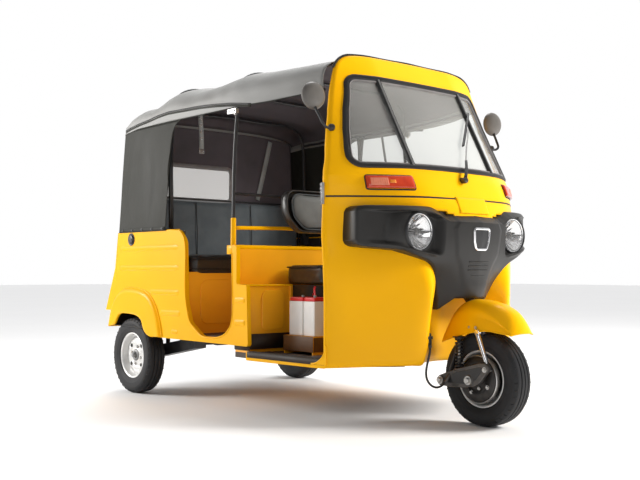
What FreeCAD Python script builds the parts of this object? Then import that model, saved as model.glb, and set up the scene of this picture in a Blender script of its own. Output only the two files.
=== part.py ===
import FreeCAD, Part
import math, os
from FreeCAD import Vector as V, Matrix

os.makedirs("parts", exist_ok=True)

# Auto rickshaw, three wheels. Millimetres. +X is the vehicle's left, the front points to -Y, +Z up.
# Everything is drawn with y = 0 at the front axle and shifted at the end.

# ---------------------------------------------------------------- driving dimensions
WHEELBASE = 2000.0
TRACK = 1150.0              # rear wheels
TYRE_R = 207.0              # 4.00-8
TYRE_W = 108.0
RIM_R = 119.0
NOSE_Y = -214.0             # tip of the front fender
TAIL_Y = 2385.0             # back of the bumper
FRONT_AXLE = -(NOSE_Y + TAIL_Y) / 2.0   # y of the front axle in the part's own frame
HALF_W = 650.0              # half the body width
SIDE_X = 640.0              # outer face of the side panels
SIDE_T = 22.0               # thickness of a side wall
SEAM_Z = 995.0              # seam between apron and windscreen frame
FLOOR_Z = 290.0             # top of the cab floor
PFLOOR_Z = 350.0            # top of the passenger floor
DECK_Z = 670.0              # seat deck
BODY_TOP = 888.0            # top of the rear body sides
BULK_Y = 1030.0             # front face of the bulkhead
BULK_TOP = 795.0
REAR_Y = 2128.0             # rear body at its top
ROOF_T = 6.0
SHELL_T = 20.0              # apron and windscreen frame wall
MASK_T = 12.0
GLASS_T = 5.0
BP_X, BP_Y = 600.0, 1067.0  # middle pillar
STEER_P = V(0, 75, 520)     # a point on the steering axis
STEER_TILT = 24.0           # castor, degrees
COL_R = 15.0
ARM_X = -88.0               # link arm plane of the front wheel

su = math.sin(math.radians(STEER_TILT))
cu = math.cos(math.radians(STEER_TILT))
AX = V(0, su, cu)           # up along the steering axis
E2 = V(0, cu, -su)          # backwards, square to it

nodes = {}


# ---------------------------------------------------------------- helpers
def box(x0, x1, y0, y1, z0, z1):
    return Part.makeBox(abs(x1 - x0), abs(y1 - y0), abs(z1 - z0), V(min(x0, x1), min(y0, y1), min(z0, z1)))


def cyl(p, d, r, h):
    return Part.makeCylinder(r, h, V(*p), V(*d))


def rod(a, b, r):
    a, b = V(*a), V(*b)
    return Part.makeCylinder(r, (b - a).Length, a, b - a)


def mirror(s):
    return s.mirror(V(0, 0, 0), V(1, 0, 0))


def both(s):
    return Part.Compound([s, mirror(s)])


def fuse(items):
    s = items[0].multiFuse(items[1:]) if len(items) > 1 else items[0]
    return s.removeSplitter()


def solids(s):
    return s.Solids


def group(items):
    out = []
    for i in items:
        out += i.Solids
    return Part.Compound(out)


def rounded(pts, radii):
    """Closed wire through corner points in a plane, each corner rounded by its radius."""
    n = len(pts)
    pts = [V(*p) for p in pts]
    if not hasattr(radii, "__len__"):
        radii = [radii] * n
    ends = []
    for i in range(n):
        a, p, b = pts[i - 1], pts[i], pts[(i + 1) % n]
        u, w = (a - p), (b - p)
        u.normalize()
        w.normalize()
        ang = math.acos(max(-1, min(1, u.dot(w))))
        r = radii[i]
        if r < 0.01 or ang > math.radians(176):
            ends.append((p, None, p))
            continue
        d = r / math.tan(ang / 2)
        m = (u + w)
        m.normalize()
        c = p + m * (r / math.sin(ang / 2))
        ends.append((p + u * d, c - m * r, p + w * d))
    edges = []
    for i in range(n):
        s, m, e = ends[i]
        if m is not None:
            edges.append(Part.Arc(s, m, e).toShape())
        nxt = ends[(i + 1) % n][0]
        if (nxt - e).Length > 1e-6:
            edges.append(Part.LineSegment(e, nxt).toShape())
    return Part.Wire(edges)


def slab(pts, radii, vec):
    """A rounded polygon pushed along vec."""
    return Part.Face(rounded(pts, radii)).extrude(V(*vec))


def yz(pts, x0, x1, radii=0):
    return slab([(x0, p[0], p[1]) for p in pts], radii, (x1 - x0, 0, 0))


def xz(pts, y0, y1, radii=0):
    return slab([(p[0], y0, p[1]) for p in pts], radii, (0, y1 - y0, 0))


def xy(pts, z0, z1, radii=0):
    return slab([(p[0], p[1], z0) for p in pts], radii, (0, 0, z1 - z0))


def spline(pts):
    c = Part.BSplineCurve()
    c.interpolate([V(*p) for p in pts])
    return c.toShape()


def offset2(pts, t):
    """Points moved by t to the left of the walking direction (2-D)."""
    out = []
    n = len(pts)
    for i in range(n):
        a = pts[max(0, i - 1)]
        b = pts[min(n - 1, i + 1)]
        dx, dy = b[0] - a[0], b[1] - a[1]
        l = math.hypot(dx, dy)
        out.append((pts[i][0] - dy / l * t, pts[i][1] + dx / l * t))
    return out


def band_wire(pts, t, put):
    """Closed wire of a strip: outer spline, inner spline at distance t, two ends. put maps 2-D to 3-D."""
    inner = offset2(pts, t)
    o = spline([put(p) for p in pts])
    i = spline([put(p) for p in inner])
    e0 = Part.LineSegment(V(*put(pts[-1])), V(*put(inner[-1]))).toShape()
    e1 = Part.LineSegment(V(*put(inner[0])), V(*put(pts[0]))).toShape()
    return Part.Wire([o, e0, i, e1])


def full(half):
    """Half contour (x from 0 out) to a whole one from -x to +x."""
    return [(-x, y) for x, y in reversed(half) if x > 0] + [(x, y) for x, y in half]


def shell(levels, t, ruled=False):
    """Wall lofted through horizontal half contours: {z: [(x, y), ...]}. The wall grows backwards."""
    wires = []
    for z in sorted(levels):
        pts = full(levels[z])
        wires.append(band_wire(pts, t, lambda p, z=z: (p[0], p[1], z)))
    return Part.makeLoft(wires, True, ruled)


def shifted(levels, d):
    return {z: offset2(c, d) for z, c in levels.items()}


def tube(pts, r, bend):
    """Round bar along a route of straight runs joined by arcs."""
    pts = [V(*p) for p in pts]
    edges = []
    last = pts[0]
    for i in range(1, len(pts) - 1):
        a, p, b = pts[i - 1], pts[i], pts[i + 1]
        u, w = (a - p), (b - p)
        lu, lw = u.Length, w.Length
        u.normalize()
        w.normalize()
        ang = math.acos(max(-1, min(1, u.dot(w))))
        if ang > math.radians(179):
            continue
        turn = math.pi - ang
        rad = bend if bend else 0.45 * min(lu, lw) / math.tan(turn / 2)
        d = rad * math.tan(turn / 2)
        m = (u + w)
        m.normalize()
        c = p + m * (rad / math.cos(turn / 2))
        s, e = p + u * d, p + w * d
        if (s - last).Length > 1e-4:
            edges.append(Part.LineSegment(last, s).toShape())
        edges.append(Part.Arc(s, c - m * rad, e).toShape())
        last = e
    edges.append(Part.LineSegment(last, pts[-1]).toShape())
    path = Part.Wire(edges)
    d0 = (pts[1] - pts[0])
    circ = Part.Wire([Part.Circle(pts[0], d0, r).toShape()])
    s = path.makePipeShell([circ], True, False)
    return s if s.ShapeType == "Solid" else s.Solids[0], path.Length


def turned(profile, axis_p, axis_d):
    """Solid of revolution; profile is a closed list of (along, radius)."""
    axis_d = V(*axis_d)
    axis_d.normalize()
    side = V(0, 0, 1) if abs(axis_d.z) < 0.9 else V(0, 1, 0)
    pts = [V(*axis_p) + axis_d * a + side * r for a, r in profile]
    w = Part.makePolygon(pts + [pts[0]])
    return Part.Face(w).revolve(V(*axis_p), axis_d, 360)


def steer(s, e1=0.0, e2=0.0):
    """A point by its height along the steering axis and its offsets from it."""
    return STEER_P + AX * s + V(1, 0, 0) * e1 + E2 * e2


def tup(v):
    return (v.x, v.y, v.z)


# ---------------------------------------------------------------- front of the cab
APRON = {
    256: [(0, 268), (80, 256), (150, 234), (205, 202), (240, 166), (266, 134), (302, 138), (345, 160), (425, 216), (515, 284), (596, 352), (612, 368)],
    330: [(0, 266), (80, 254), (150, 230), (205, 196), (240, 150), (263, 112), (302, 120), (345, 148), (425, 209), (515, 278), (598, 350), (615, 367)],
    450: [(0, 262), (80, 248), (150, 222), (202, 186), (236, 136), (260, 96), (302, 110), (345, 142), (425, 205), (515, 275), (600, 348), (616, 366)],
    600: [(0, 238), (70, 218), (130, 186), (180, 142), (226, 100), (261, 86), (302, 108), (345, 141), (425, 203), (515, 272), (604, 343), (622, 360)],
    720: [(0, 142), (70, 138), (130, 130), (180, 120), (230, 108), (272, 104), (308, 118), (345, 143), (425, 203), (515, 272), (608, 343), (628, 360)],
    830: [(0, 82), (80, 84), (150, 90), (210, 98), (265, 110), (315, 128), (370, 165), (440, 220), (520, 282), (610, 352), (629, 368)],
}
MASK = {
    500: [(0, 112), (50, 116), (100, 132), (140, 156), (160, 170)],
    560: [(0, 62), (50, 68), (105, 96), (150, 128), (180, 146)],
    620: [(0, 54), (58, 60), (118, 82), (172, 110), (212, 128)],
    700: [(0, 46), (80, 54), (150, 68), (215, 82), (280, 90)],
    781: [(0, 32), (120, 44), (240, 64), (400, 108), (570, 238)],
    850: [(0, 26), (120, 38), (240, 60), (400, 106), (570, 234)],
    955: [(0, 44), (120, 48), (240, 58), (400, 112), (566, 234)],
}

COWL_HALF = [(941, 625), (995, 624), (1040, 624), (1090, 621), (1138, 605), (1210, 585), (1300, 558), (1390, 530), (1480, 505), (1520, 492), (1552, 486), (1720, 486)]
SWEEP = [(941, 51), (995, 19), (1040, -7), (1090, -26), (1138, -24), (1210, 7), (1300, 38), (1390, 56), (1480, 59), (1552, 56), (1600, 50), (1690, 40)]


def lerp_table(z, pairs):
    if z <= pairs[0][0]:
        return pairs[0][1]
    for (z0, a), (z1, b) in zip(pairs, pairs[1:]):
        if z <= z1:
            return a + (b - a) * (z - z0) / (z1 - z0)
    return pairs[-1][1]


def cowl_y(x, z):
    """Outer surface of the cowl and windscreen: upright in the middle, swept back to the sides."""
    x = abs(x)
    if z >= 1138:
        t = (z - 1138) / 414.0
        y = (1 - t) * (155 + 32 * (x / 269) ** 2.55) + t * (398 + 8 * (x / 272) ** 2)
    else:
        s = (z - 941) / 197.0
        y = (1 - s) * (64 + 43 * (x / 269) ** 2.1) + s * (155 + 32 * (x / 269) ** 2.55)
        y -= 20 * 4 * s * (1 - s) * math.exp(-((x - 300) / 130.0) ** 2) if 0 < s < 1 else 0
    a = lerp_table(z, SWEEP)
    w = max(0.0, (x - 250) / (lerp_table(z, COWL_HALF) - 250))
    return y + a * w ** 1.4


def cowl_level(z, half):
    return [(half * k, cowl_y(half * k, z)) for k in (0, 0.125, 0.25, 0.34, 0.43, 0.52, 0.61, 0.71, 0.82, 0.92, 1.0)]


for z in (941, SEAM_Z):
    APRON[z] = cowl_level(z, lerp_table(z, COWL_HALF))
UPPER = {z: cowl_level(z, lerp_table(z, COWL_HALF)) for z in (SEAM_Z, 1040, 1090, 1138, 1210, 1300, 1390, 1480, 1552, 1620, 1690)}
HOOP_HALF = [(632, 984), (624, SEAM_Z), (623, 1040), (619, 1090), (603, 1138), (583, 1210), (556, 1300), (528, 1390), (503, 1480), (489, 1520), (479, 1550),
             (468, 1582), (456, 1608), (440, 1629), (416, 1645), (372, 1658), (280, 1666), (140, 1669)]
HOOP = [(-x, z) for x, z in HOOP_HALF] + [(0, 1670)] + [(x, z) for x, z in reversed(HOOP_HALF)]
SCREEN = [(-524, 1136), (524, 1136), (512, 1210), (490, 1300), (464, 1390), (435, 1480), (421, 1548), (-421, 1548), (-435, 1480), (-464, 1390), (-490, 1300), (-512, 1210)]
SCREEN_R = [38, 38, 300, 300, 300, 150, 50, 50, 150, 300, 300, 300]

apron = shell(APRON, SHELL_T)

mask = shell(MASK, MASK_T)
MASK_LINE = [(-96, 926), (-150, 950), (-253, 954), (-552, 954), (-566, 930), (-563, 790), (-552, 779), (-400, 764), (-281, 719), (-228, 679),
             (-191, 614), (-163, 554), (-142, 503), (-100, 556), (100, 556), (142, 503), (163, 554), (191, 614), (228, 679), (281, 719),
             (400, 764), (552, 779), (563, 790), (566, 930), (552, 954), (253, 954), (150, 950), (96, 926)]
mask = mask.common(xz(MASK_LINE, -60, 420))

LAMP_C = (318.0, 845.0)
LAMP_R = 78.0
lamp = turned([(0, 0), (-9, 30), (-6, 55), (2, LAMP_R - 2), (10, LAMP_R), (78, LAMP_R), (92, 50), (92, 0)], (LAMP_C[0], 78, LAMP_C[1]), (0, 1, 0))
lamp_hole = Part.makeCylinder(LAMP_R, 300, V(LAMP_C[0], -60, LAMP_C[1]), V(0, 1, 0))
apron = apron.cut(lamp_hole).cut(mirror(lamp_hole))
mask = mask.cut(lamp_hole).cut(mirror(lamp_hole))
apron = apron.cut(mask)

upper = shell(UPPER, SHELL_T + 6)
upper = upper.common(xz(HOOP, -60, 700))
screen_cut = xz(SCREEN, -60, 700, SCREEN_R)
glass_levels = {z: offset2(c, 8.0) for z, c in UPPER.items()}
glass = Part.makeLoft([band_wire(full(glass_levels[z]), GLASS_T, lambda p, z=z: (p[0], p[1], z)) for z in sorted(glass_levels)], True, False)
glass = glass.common(xz(SCREEN, -60, 700, SCREEN_R))
upper = upper.cut(screen_cut)

# turn signals on the band under the windscreen
ind = Part.Face(rounded([(322, 133, 1030), (486, 250, 1030), (486, 250, 1082), (322, 133, 1082)], 8)).extrude(V(-26, 38, 0))
upper = upper.cut(ind).cut(mirror(ind))
# flap in the middle, over the seam
flap = yz([(54, 932), (84, 1000), (100, 1000), (70, 932)], -98, 98).cut(apron).cut(mask)
upper = fuse([upper, max(flap.Solids, key=lambda q: q.Volume)])
upper = max(upper.cut(mask).Solids, key=lambda q: q.Volume)

# steering head goes through the wall behind the mask
head_hole = Part.makeCylinder(46, 330, steer(-20), AX)
mask = mask.cut(Part.makeCylinder(24, 330, steer(-20), AX))
apron = apron.cut(head_hole)

nodes["front_apron"] = apron
nodes["front_mask"] = mask
nodes["windscreen_frame"] = upper
nodes["windscreen_glass"] = glass
nodes["headlamps"] = both(lamp)
nodes["indicators"] = both(ind)

# steering head tube, held to the inside of the apron by two ears
head = Part.makeCylinder(30, 230, steer(110), AX)
ears = box(-60, 60, 120, 190, 700, 716).cut(nodes["front_apron"])
ears2 = box(-60, 60, 96, 200, 790, 806).cut(nodes["front_apron"])
head = fuse([head, ears, ears2]).cut(Part.makeCylinder(COL_R + 0.3, 600, steer(-30), AX))
head = head.cut(nodes["front_mask"]).cut(nodes["front_apron"])
nodes["steering_head"] = max(head.Solids, key=lambda s: s.Volume)

# dashboard: a shelf along the inside of the cowl with two open-topped glove boxes
dash = box(-585, 585, 150, 330, 872, 884).fuse(box(200, 470, 180, 380, 772, 884)).fuse(box(-470, -200, 180, 380, 772, 884)).fuse(box(-585, 585, 300, 380, 872, 884))
dash = dash.cut(box(215, 455, 278, 366, 790, 900)).cut(box(-455, -215, 278, 366, 790, 900))
dash = dash.cut(box(-70, 70, 120, 320, 860, 900))
inside = {z: offset2(c, SHELL_T + 4) for z, c in {**APRON, **{k: v for k, v in UPPER.items() if k > SEAM_Z}}.items() if 720 <= z <= 1040}
wires = []
for z in sorted(inside):
    f = full(inside[z])
    wires.append(Part.Wire([spline([(p[0], p[1], z) for p in f]), Part.makePolygon([V(f[-1][0], f[-1][1], z), V(f[-1][0], 900, z), V(f[0][0], 900, z), V(f[0][0], f[0][1], z)])]))
room = Part.makeLoft(wires, True, False)
dash = dash.common(room)
for sx in (-1, 1):
    dash = dash.cut(cyl((sx * LAMP_C[0], 60, LAMP_C[1]), (0, 1, 0), LAMP_R + 5, 116))
dash = max(dash.cut(nodes["front_apron"]).Solids, key=lambda q: q.Volume)
nodes["dashboard"] = dash

# wiper: a pivot boss, an arm and a blade in front of the glass
WP = [(-12, 1083), (55, 1172), (202, 1352)]
wp = [V(x, cowl_y(x, z) - 20, z) for x, z in WP]
bl = [V(x, cowl_y(x, z) - 13, z) for x, z in [(102, 1256), (190, 1346), (280, 1440)]]
boss = cyl((WP[0][0], cowl_y(*WP[0]) - 28, WP[0][1]), (0, 1, 0), 13, 40).cut(nodes["windscreen_frame"])
boss = max(boss.Solids, key=lambda q: -q.BoundBox.YMin)
wiper = boss.multiFuse([rod(tup(wp[0]), tup(wp[1]), 5), Part.makeSphere(5, wp[1]), rod(tup(wp[1]), tup(wp[2]), 4), Part.makeSphere(5.5, wp[2]),
                        rod(tup(wp[2]), (202, cowl_y(202, 1358) - 13, 1358), 3.5), rod(tup(bl[0]), tup(bl[1]), 6), Part.makeSphere(6, bl[1]), rod(tup(bl[1]), tup(bl[2]), 6)])
nodes["wiper"] = max(wiper.Solids, key=lambda s: s.Volume)

# mirrors on stalks
m_head = turned([(-13, 0), (-13, 40), (-9, 56), (0, 61), (9, 61), (12, 52), (12, 0)], (612, 454, 1441), (0.0, 1, 0))
m_stalk, _ = tube([(536, 414, 1304), (590, 412, 1300), (606, 422, 1330), (612, 446, 1392)], 6, 8)
mir = fuse([m_head, m_stalk, cyl((540, 414, 1304), (1, 0, 0), 12, 22)])
mir = mir.cut(nodes["windscreen_frame"])
mir = max(mir.Solids, key=lambda s: s.Volume)
nodes["mirrors"] = both(mir)

# ---------------------------------------------------------------- floor and cab
floor = xy([(-604, 366), (-470, 256), (-330, 180), (-200, 300), (200, 300), (330, 180), (470, 256), (604, 366), (612, 905), (612, BULK_Y), (-612, BULK_Y), (-612, 905)], FLOOR_Z - 26, FLOOR_Z)
floor = floor.cut(nodes["front_apron"])
floor = max(floor.Solids, key=lambda s: s.Volume)
tunnel = yz([(330, FLOOR_Z - 4), (350, FLOOR_Z + 46), (700, FLOOR_Z + 46), (700, FLOOR_Z - 4)], -130, 130).cut(nodes["front_apron"])
sill = xy([(590, 392), (614, 376), (622, 430), (644, 905), (612, 905)], 258, 298)
sill = sill.cut(nodes["front_apron"])
sill = max(sill.Solids, key=lambda s: s.Volume)
nodes["sills"] = both(sill)
nodes["cab_floor"] = max(fuse([floor, tunnel]).cut(sill).cut(mirror(sill)).Solids, key=lambda s: s.Volume)

base = box(-350, 350, 705, BULK_Y, FLOOR_Z, 609).fuse(box(-612, 612, 920, BULK_Y, FLOOR_Z, 609)).removeSplitter()
nodes["driver_seat_base"] = base.cut(box(-330, 330, 725, BULK_Y - 18, FLOOR_Z - 1, 590)).cut(box(-592, -370, 940, BULK_Y - 18, FLOOR_Z - 1, 590)).cut(box(592, 370, 940, BULK_Y - 18, FLOOR_Z - 1, 590))
nodes["driver_cushion"] = xy([(-345, 690), (345, 690), (345, 1012), (-345, 1012)], 609, 706, 40)
back = yz([(962, 868), (1010, 868), (1028, 1078), (980, 1078)], -345, 345)
nodes["driver_backrest"] = back
b1 = box(-470, -356, 613, 692, 376, 536).fuse(box(-466, -360, 617, 688, 536, 556))
b2 = box(-470, -356, 700, 796, 376, 536).fuse(box(-466, -360, 704, 792, 536, 556))
nodes["batteries"] = Part.Compound([b1.removeSplitter(), b2.removeSplitter()])
tray = box(-490, -340, 600, 810, 364, 376).fuse(box(-490, -340, 600, 606, FLOOR_Z, 364)).fuse(box(-490, -340, 804, 810, FLOOR_Z, 364))
nodes["driver_seat_base"] = fuse([nodes["driver_seat_base"], tray, box(-352, -340, 705, 810, 364, 376)])
pedal = fuse([box(-190, -120, 372, 392, 372, 440), rod((-155, 380, 400), (-155, 340, FLOOR_Z - 4), 8)])
pedal = pedal.cut(nodes["cab_floor"])
nodes["brake_pedal"] = max(pedal.Solids, key=lambda s: s.Volume)

# ---------------------------------------------------------------- passenger body
bulkhead = box(-618, 618, BULK_Y, BULK_Y + 22, 330, BULK_TOP)
ARCH_C = (WHEELBASE, TYRE_R)
side = [(892, 322), (1696, 324)]
arch = []
for k in range(0, 13):
    a = math.radians(159.3 - k * (159.3 - 63.0) / 12)
    arch.append((ARCH_C[0] + 330 * math.cos(a), ARCH_C[1] + 330 * math.sin(a)))
side = [(892, 322)] + arch + [(2150, 501), (REAR_Y, BODY_TOP), (1494, BODY_TOP), (1436, 830), (1424, 527), (1385, 417), (1276, 352),
                              (1171, 348), (1087, 367), (1029, 418), (1014, 513), (1024, BULK_TOP), (985, BULK_TOP), (985, 612), (905, 609)]
rad = [10] + [0] * len(arch) + [0, 12, 30, 60, 200, 60, 60, 60, 60, 60, 60, 6, 6, 8, 8]
panel = yz(side, SIDE_X - SIDE_T, SIDE_X, rad)
nodes["side_panel_left"] = panel
nodes["side_panel_right"] = mirror(panel)

pf = box(-618, 618, BULK_Y + 22, 1440, PFLOOR_Z - 20, PFLOOR_Z)
sb = box(-618, 618, 1440, 1462, PFLOOR_Z - 20, DECK_Z).fuse(box(-618, 618, 1462, 2106, DECK_Z - 20, DECK_Z)).fuse(box(-618, 618, 2084, 2106, DECK_Z, BODY_TOP)).removeSplitter()
nodes["inner_body"] = fuse([bulkhead, pf, sb])
nodes["passenger_cushion"] = xy([(-604, 1425), (604, 1425), (604, 1985), (-604, 1985)], DECK_Z, 766, 40)
pb = yz([(1990, 672), (2082, 672), (2082, 1105), (2030, 1105)], -600, 600)
nodes["passenger_backrest"] = pb

# rear: slanting wall with an opening for the engine lid
REAR = [(REAR_Y - 20, BODY_TOP), (REAR_Y, BODY_TOP), (2158, 690), (2262, 452), (2240, 452), (2137, 684)]
rear = yz(REAR, -SIDE_X, SIDE_X)
cheek = yz([(2150, 501), (REAR_Y, BODY_TOP), (2158, 690), (2262, 452), (2180, 452)], SIDE_X - SIDE_T, SIDE_X)
rear = rear.fuse(cheek).fuse(mirror(cheek)).removeSplitter()
rear = rear.cut(nodes["side_panel_left"]).cut(nodes["side_panel_right"])
# lid: a plate lying in the lower slanting face
sl = V(0, 2262 - 2158, 452 - 690)
sl.normalize()                      # down along the face
sn = V(0, -sl.z, sl.y)              # outwards
if sn.y < 0:
    sn = sn * -1
LID_W = 380.0
lid0 = V(0, 2158, 690) + sl * 22
lid1 = V(0, 2158, 690) + sl * 222
op = Part.Face(Part.makePolygon([lid0 + V(-LID_W, 0, 0), lid0 + V(LID_W, 0, 0), lid1 + V(LID_W, 0, 0), lid1 + V(-LID_W, 0, 0), lid0 + V(-LID_W, 0, 0)])).extrude(sn * 60)
op.translate(sn * -40)
rear = rear.cut(op)
a0, a1 = lid0 + sl * 6, lid1 - sl * 6
lid = Part.Face(Part.makePolygon([a0 + V(-LID_W + 6, 0, 0), a0 + V(LID_W - 6, 0, 0), a1 + V(LID_W - 6, 0, 0), a1 + V(-LID_W + 6, 0, 0), a0 + V(-LID_W + 6, 0, 0)])).extrude(sn * 18)
lid.translate(sn * -14)
HINGE = lid0 + sn * 14 + sl * -6
LID_HINGE = HINGE
for sx in (-1, 1):
    kn = Part.makeCylinder(11, 60, HINGE + V(sx * 240 - 30, 0, 0), V(1, 0, 0))
    leaf = Part.Face(Part.makePolygon([HINGE + V(sx * 240 - 30, 0, 0) + sn * 1, HINGE + V(sx * 240 + 30, 0, 0) + sn * 1,
                                       a0 + V(sx * 240 + 30, 0, 0) + sl * 40 + sn * -4, a0 + V(sx * 240 - 30, 0, 0) + sl * 40 + sn * -4,
                                       HINGE + V(sx * 240 - 30, 0, 0) + sn * 1])).extrude(sn * 6)
    lid = lid.fuse(kn).fuse(leaf)
lid = lid.removeSplitter()
for sx in (-1, 1):
    lid = lid.cut(Part.makeCylinder(5.3, 80, HINGE + V(sx * 240 - 40, 0, 0), V(1, 0, 0)))
    # pin held by two ears on the wall
    pin = Part.makeCylinder(5, 92, HINGE + V(sx * 240 - 46, 0, 0), V(1, 0, 0))
    for e in (-46, 36):
        ear = Part.makeCylinder(9, 10, HINGE + V(sx * 240 + e, 0, 0), V(1, 0, 0))
        foot = Part.makeBox(10, 30, 18, V(HINGE.x + sx * 240 + e, HINGE.y - 30, HINGE.z - 2))
        rear = rear.fuse(ear).fuse(foot)
    rear = rear.fuse(pin)
rear = rear.removeSplitter()
nodes["rear_panel"] = rear
nodes["engine_lid"] = lid

# rear fenders: bands over the wheels
fo = [(1653, 327), (1672, 400), (1712, 480), (1780, 545), (1870, 574), (1970, 582), (2060, 574), (2136, 540), (2190, 480), (2218, 415), (2229, 354)]
fw = band_wire(fo, -6, lambda p: (505, p[0], p[1]))
fend = Part.Face(fw).extrude(V(HALF_W - 505, 0, 0))
fi = [(2165, 369), (2138, 386), (2116, 414), (2087, 437), (2033, 444), (1943, 441), (1882, 429), (1844, 405), (1824, 367), (1791, 338), (1741, 325)]
lip = yz(fo + fi, HALF_W - 6, HALF_W)          # side face down to the wheel opening
fend = fend.fuse(lip).removeSplitter()
for n in ("side_panel_left", "rear_panel"):
    nodes[n] = max(nodes[n].cut(fend).Solids, key=lambda q: q.Volume)
nodes["side_panel_right"] = max(nodes["side_panel_right"].cut(mirror(fend)).Solids, key=lambda q: q.Volume)
nodes["rear_panel"] = max(nodes["rear_panel"].cut(mirror(fend)).Solids, key=lambda q: q.Volume)
nodes["rear_fenders"] = both(fend)

# ---------------------------------------------------------------- canopy
ROOF = [  # y, crown, half width, eave, roundness of the shoulder
    (511, 1660, 507, 1519, 3.4), (673, 1663, 548, 1509, 3.3), (818, 1670, 577, 1501, 3.1), (965, 1678, 598, 1500, 3.0), (1067, 1690, 610, 1499, 2.9),
    (1250, 1662, 614, 1499, 2.9), (1444, 1660, 615, 1499, 2.9), (1570, 1683, 616, 1499, 2.9), (1640, 1690, 616, 1499, 2.9), (1759, 1640, 615, 1499, 2.9), (1830, 1612, 614, 1498, 2.8),
    (1960, 1622, 610, 1495, 2.8), (2060, 1588, 606, 1488, 2.7), (2116, 1530, 602, 1480, 2.7)]


def roof_half(crown, w, eave, low, nexp):
    pts = []
    for k in range(0, 12):
        a = (k / 11.0) * math.pi / 2
        x = w * (abs(math.sin(a)) ** (2 / nexp))
        z = eave + (crown - eave) * (abs(math.cos(a)) ** (2 / nexp))
        pts.append((x, z))
    pts.append((w + (eave - low) * 0.05, low))
    return pts


def roof_wire(y, crown, w, eave, nexp, t):
    pts = roof_half(crown, w, eave, eave - 34, nexp)
    f = [(-x, z) for x, z in reversed(pts[1:])] + pts
    return band_wire(f, -t, lambda p: (p[0], y, p[1]))


roof = Part.makeLoft([roof_wire(y, c, w, e, n, ROOF_T) for y, c, w, e, n in ROOF], True, False)
# side curtains behind the passenger entry and the back curtain
def quad(y, z_lo, z_hi, x_lo, x_hi, t):
    return Part.makePolygon([V(x_lo, y, z_lo), V(x_hi, y, z_hi), V(x_hi - t, y, z_hi), V(x_lo - t, y, z_lo), V(x_lo, y, z_lo)])
cur = Part.makeLoft([Part.Wire(quad(1556, 890, 1470, 646, 617.5, ROOF_T).Edges), Part.Wire(quad(2118, 890, 1455, 640, 604, ROOF_T).Edges)], True, True)
backc = xz([(-640, 890), (640, 890), (603, 1450), (585, 1500), (520, 1512), (400, 1521), (-400, 1521), (-520, 1512), (-585, 1500), (-603, 1450)], 2112, 2118,
           [0, 0, 0, 30, 30, 60, 60, 30, 30, 0])
canopy = fuse([roof, cur, mirror(cur), backc])
WIN = [(-430, 1100), (130, 1100), (130, 1302), (-430, 1302)]
canopy = canopy.cut(xz(WIN, 2090, 2140, 26))
canopy = max(canopy.Solids, key=lambda s: s.Volume)
over = canopy.common(nodes["windscreen_frame"])
print("canopy over the header: %.1f mm3" % over.Volume)
if over.Volume > 1:
    canopy = max(canopy.cut(nodes["windscreen_frame"]).Solids, key=lambda s: s.Volume)
nodes["canopy"] = canopy
nodes["rear_window"] = xz(WIN, 2113.5, 2116.5, 26)

# frame of the canopy: middle pillars with sleeves, three hoops, rails


def hoop(y, crown, w, eave, foot_x, foot_z):
    pts = [(foot_x, y, foot_z), (w - 26, y, eave - 20), (w - 70, y, crown - 62), (w * 0.55, y, crown - 26), (0, y, crown - 22)]
    s, _ = tube(pts, 10, 40)
    return fuse([s, mirror(s)])


h1 = hoop(BP_Y, 1682, 606, 1484, BP_X, BULK_TOP + 6)
h2 = hoop(1640, 1682, 612, 1482, 590, BODY_TOP + 8)
h3 = hoop(1960, 1612, 606, 1476, 590, BODY_TOP + 8)
fr = [h1, h2, h3]
sleeve = cyl((BP_X, BP_Y, BULK_TOP + 4), (0, 0, 1), 16, 132)
fr += [sleeve, mirror(sleeve)]
fr.append(rod((-BP_X, BP_Y - 2, 1050), (BP_X, BP_Y - 2, 1050), 9))
fr.append(rod((-BP_X, BP_Y - 4, 888), (BP_X, BP_Y - 4, 888), 12))
for sx in (-1, 1):
    fr.append(rod((sx * 585, BP_Y, 1478), (sx * 588, 1640, 1478), 8))
    fr.append(rod((sx * 588, 1640, 1478), (sx * 584, 1960, 1472), 8))
    fr.append(rod((sx * 585, BP_Y, 1478), (sx * 484, 486, 1496), 8))
for f in (box(BP_X - 30, 618, BULK_Y + 22, BP_Y + 34, BULK_TOP - 40, BULK_TOP + 6), box(572, 618, 1622, 1658, 840, BODY_TOP + 10), box(572, 618, 1942, 1978, 840, BODY_TOP + 10)):
    fr += [f, mirror(f)]
frame = fuse(fr)
frame = frame.cut(nodes["canopy"]).cut(nodes["windscreen_frame"])
nodes["canopy_frame"] = max(frame.Solids, key=lambda s: s.Volume)


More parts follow.
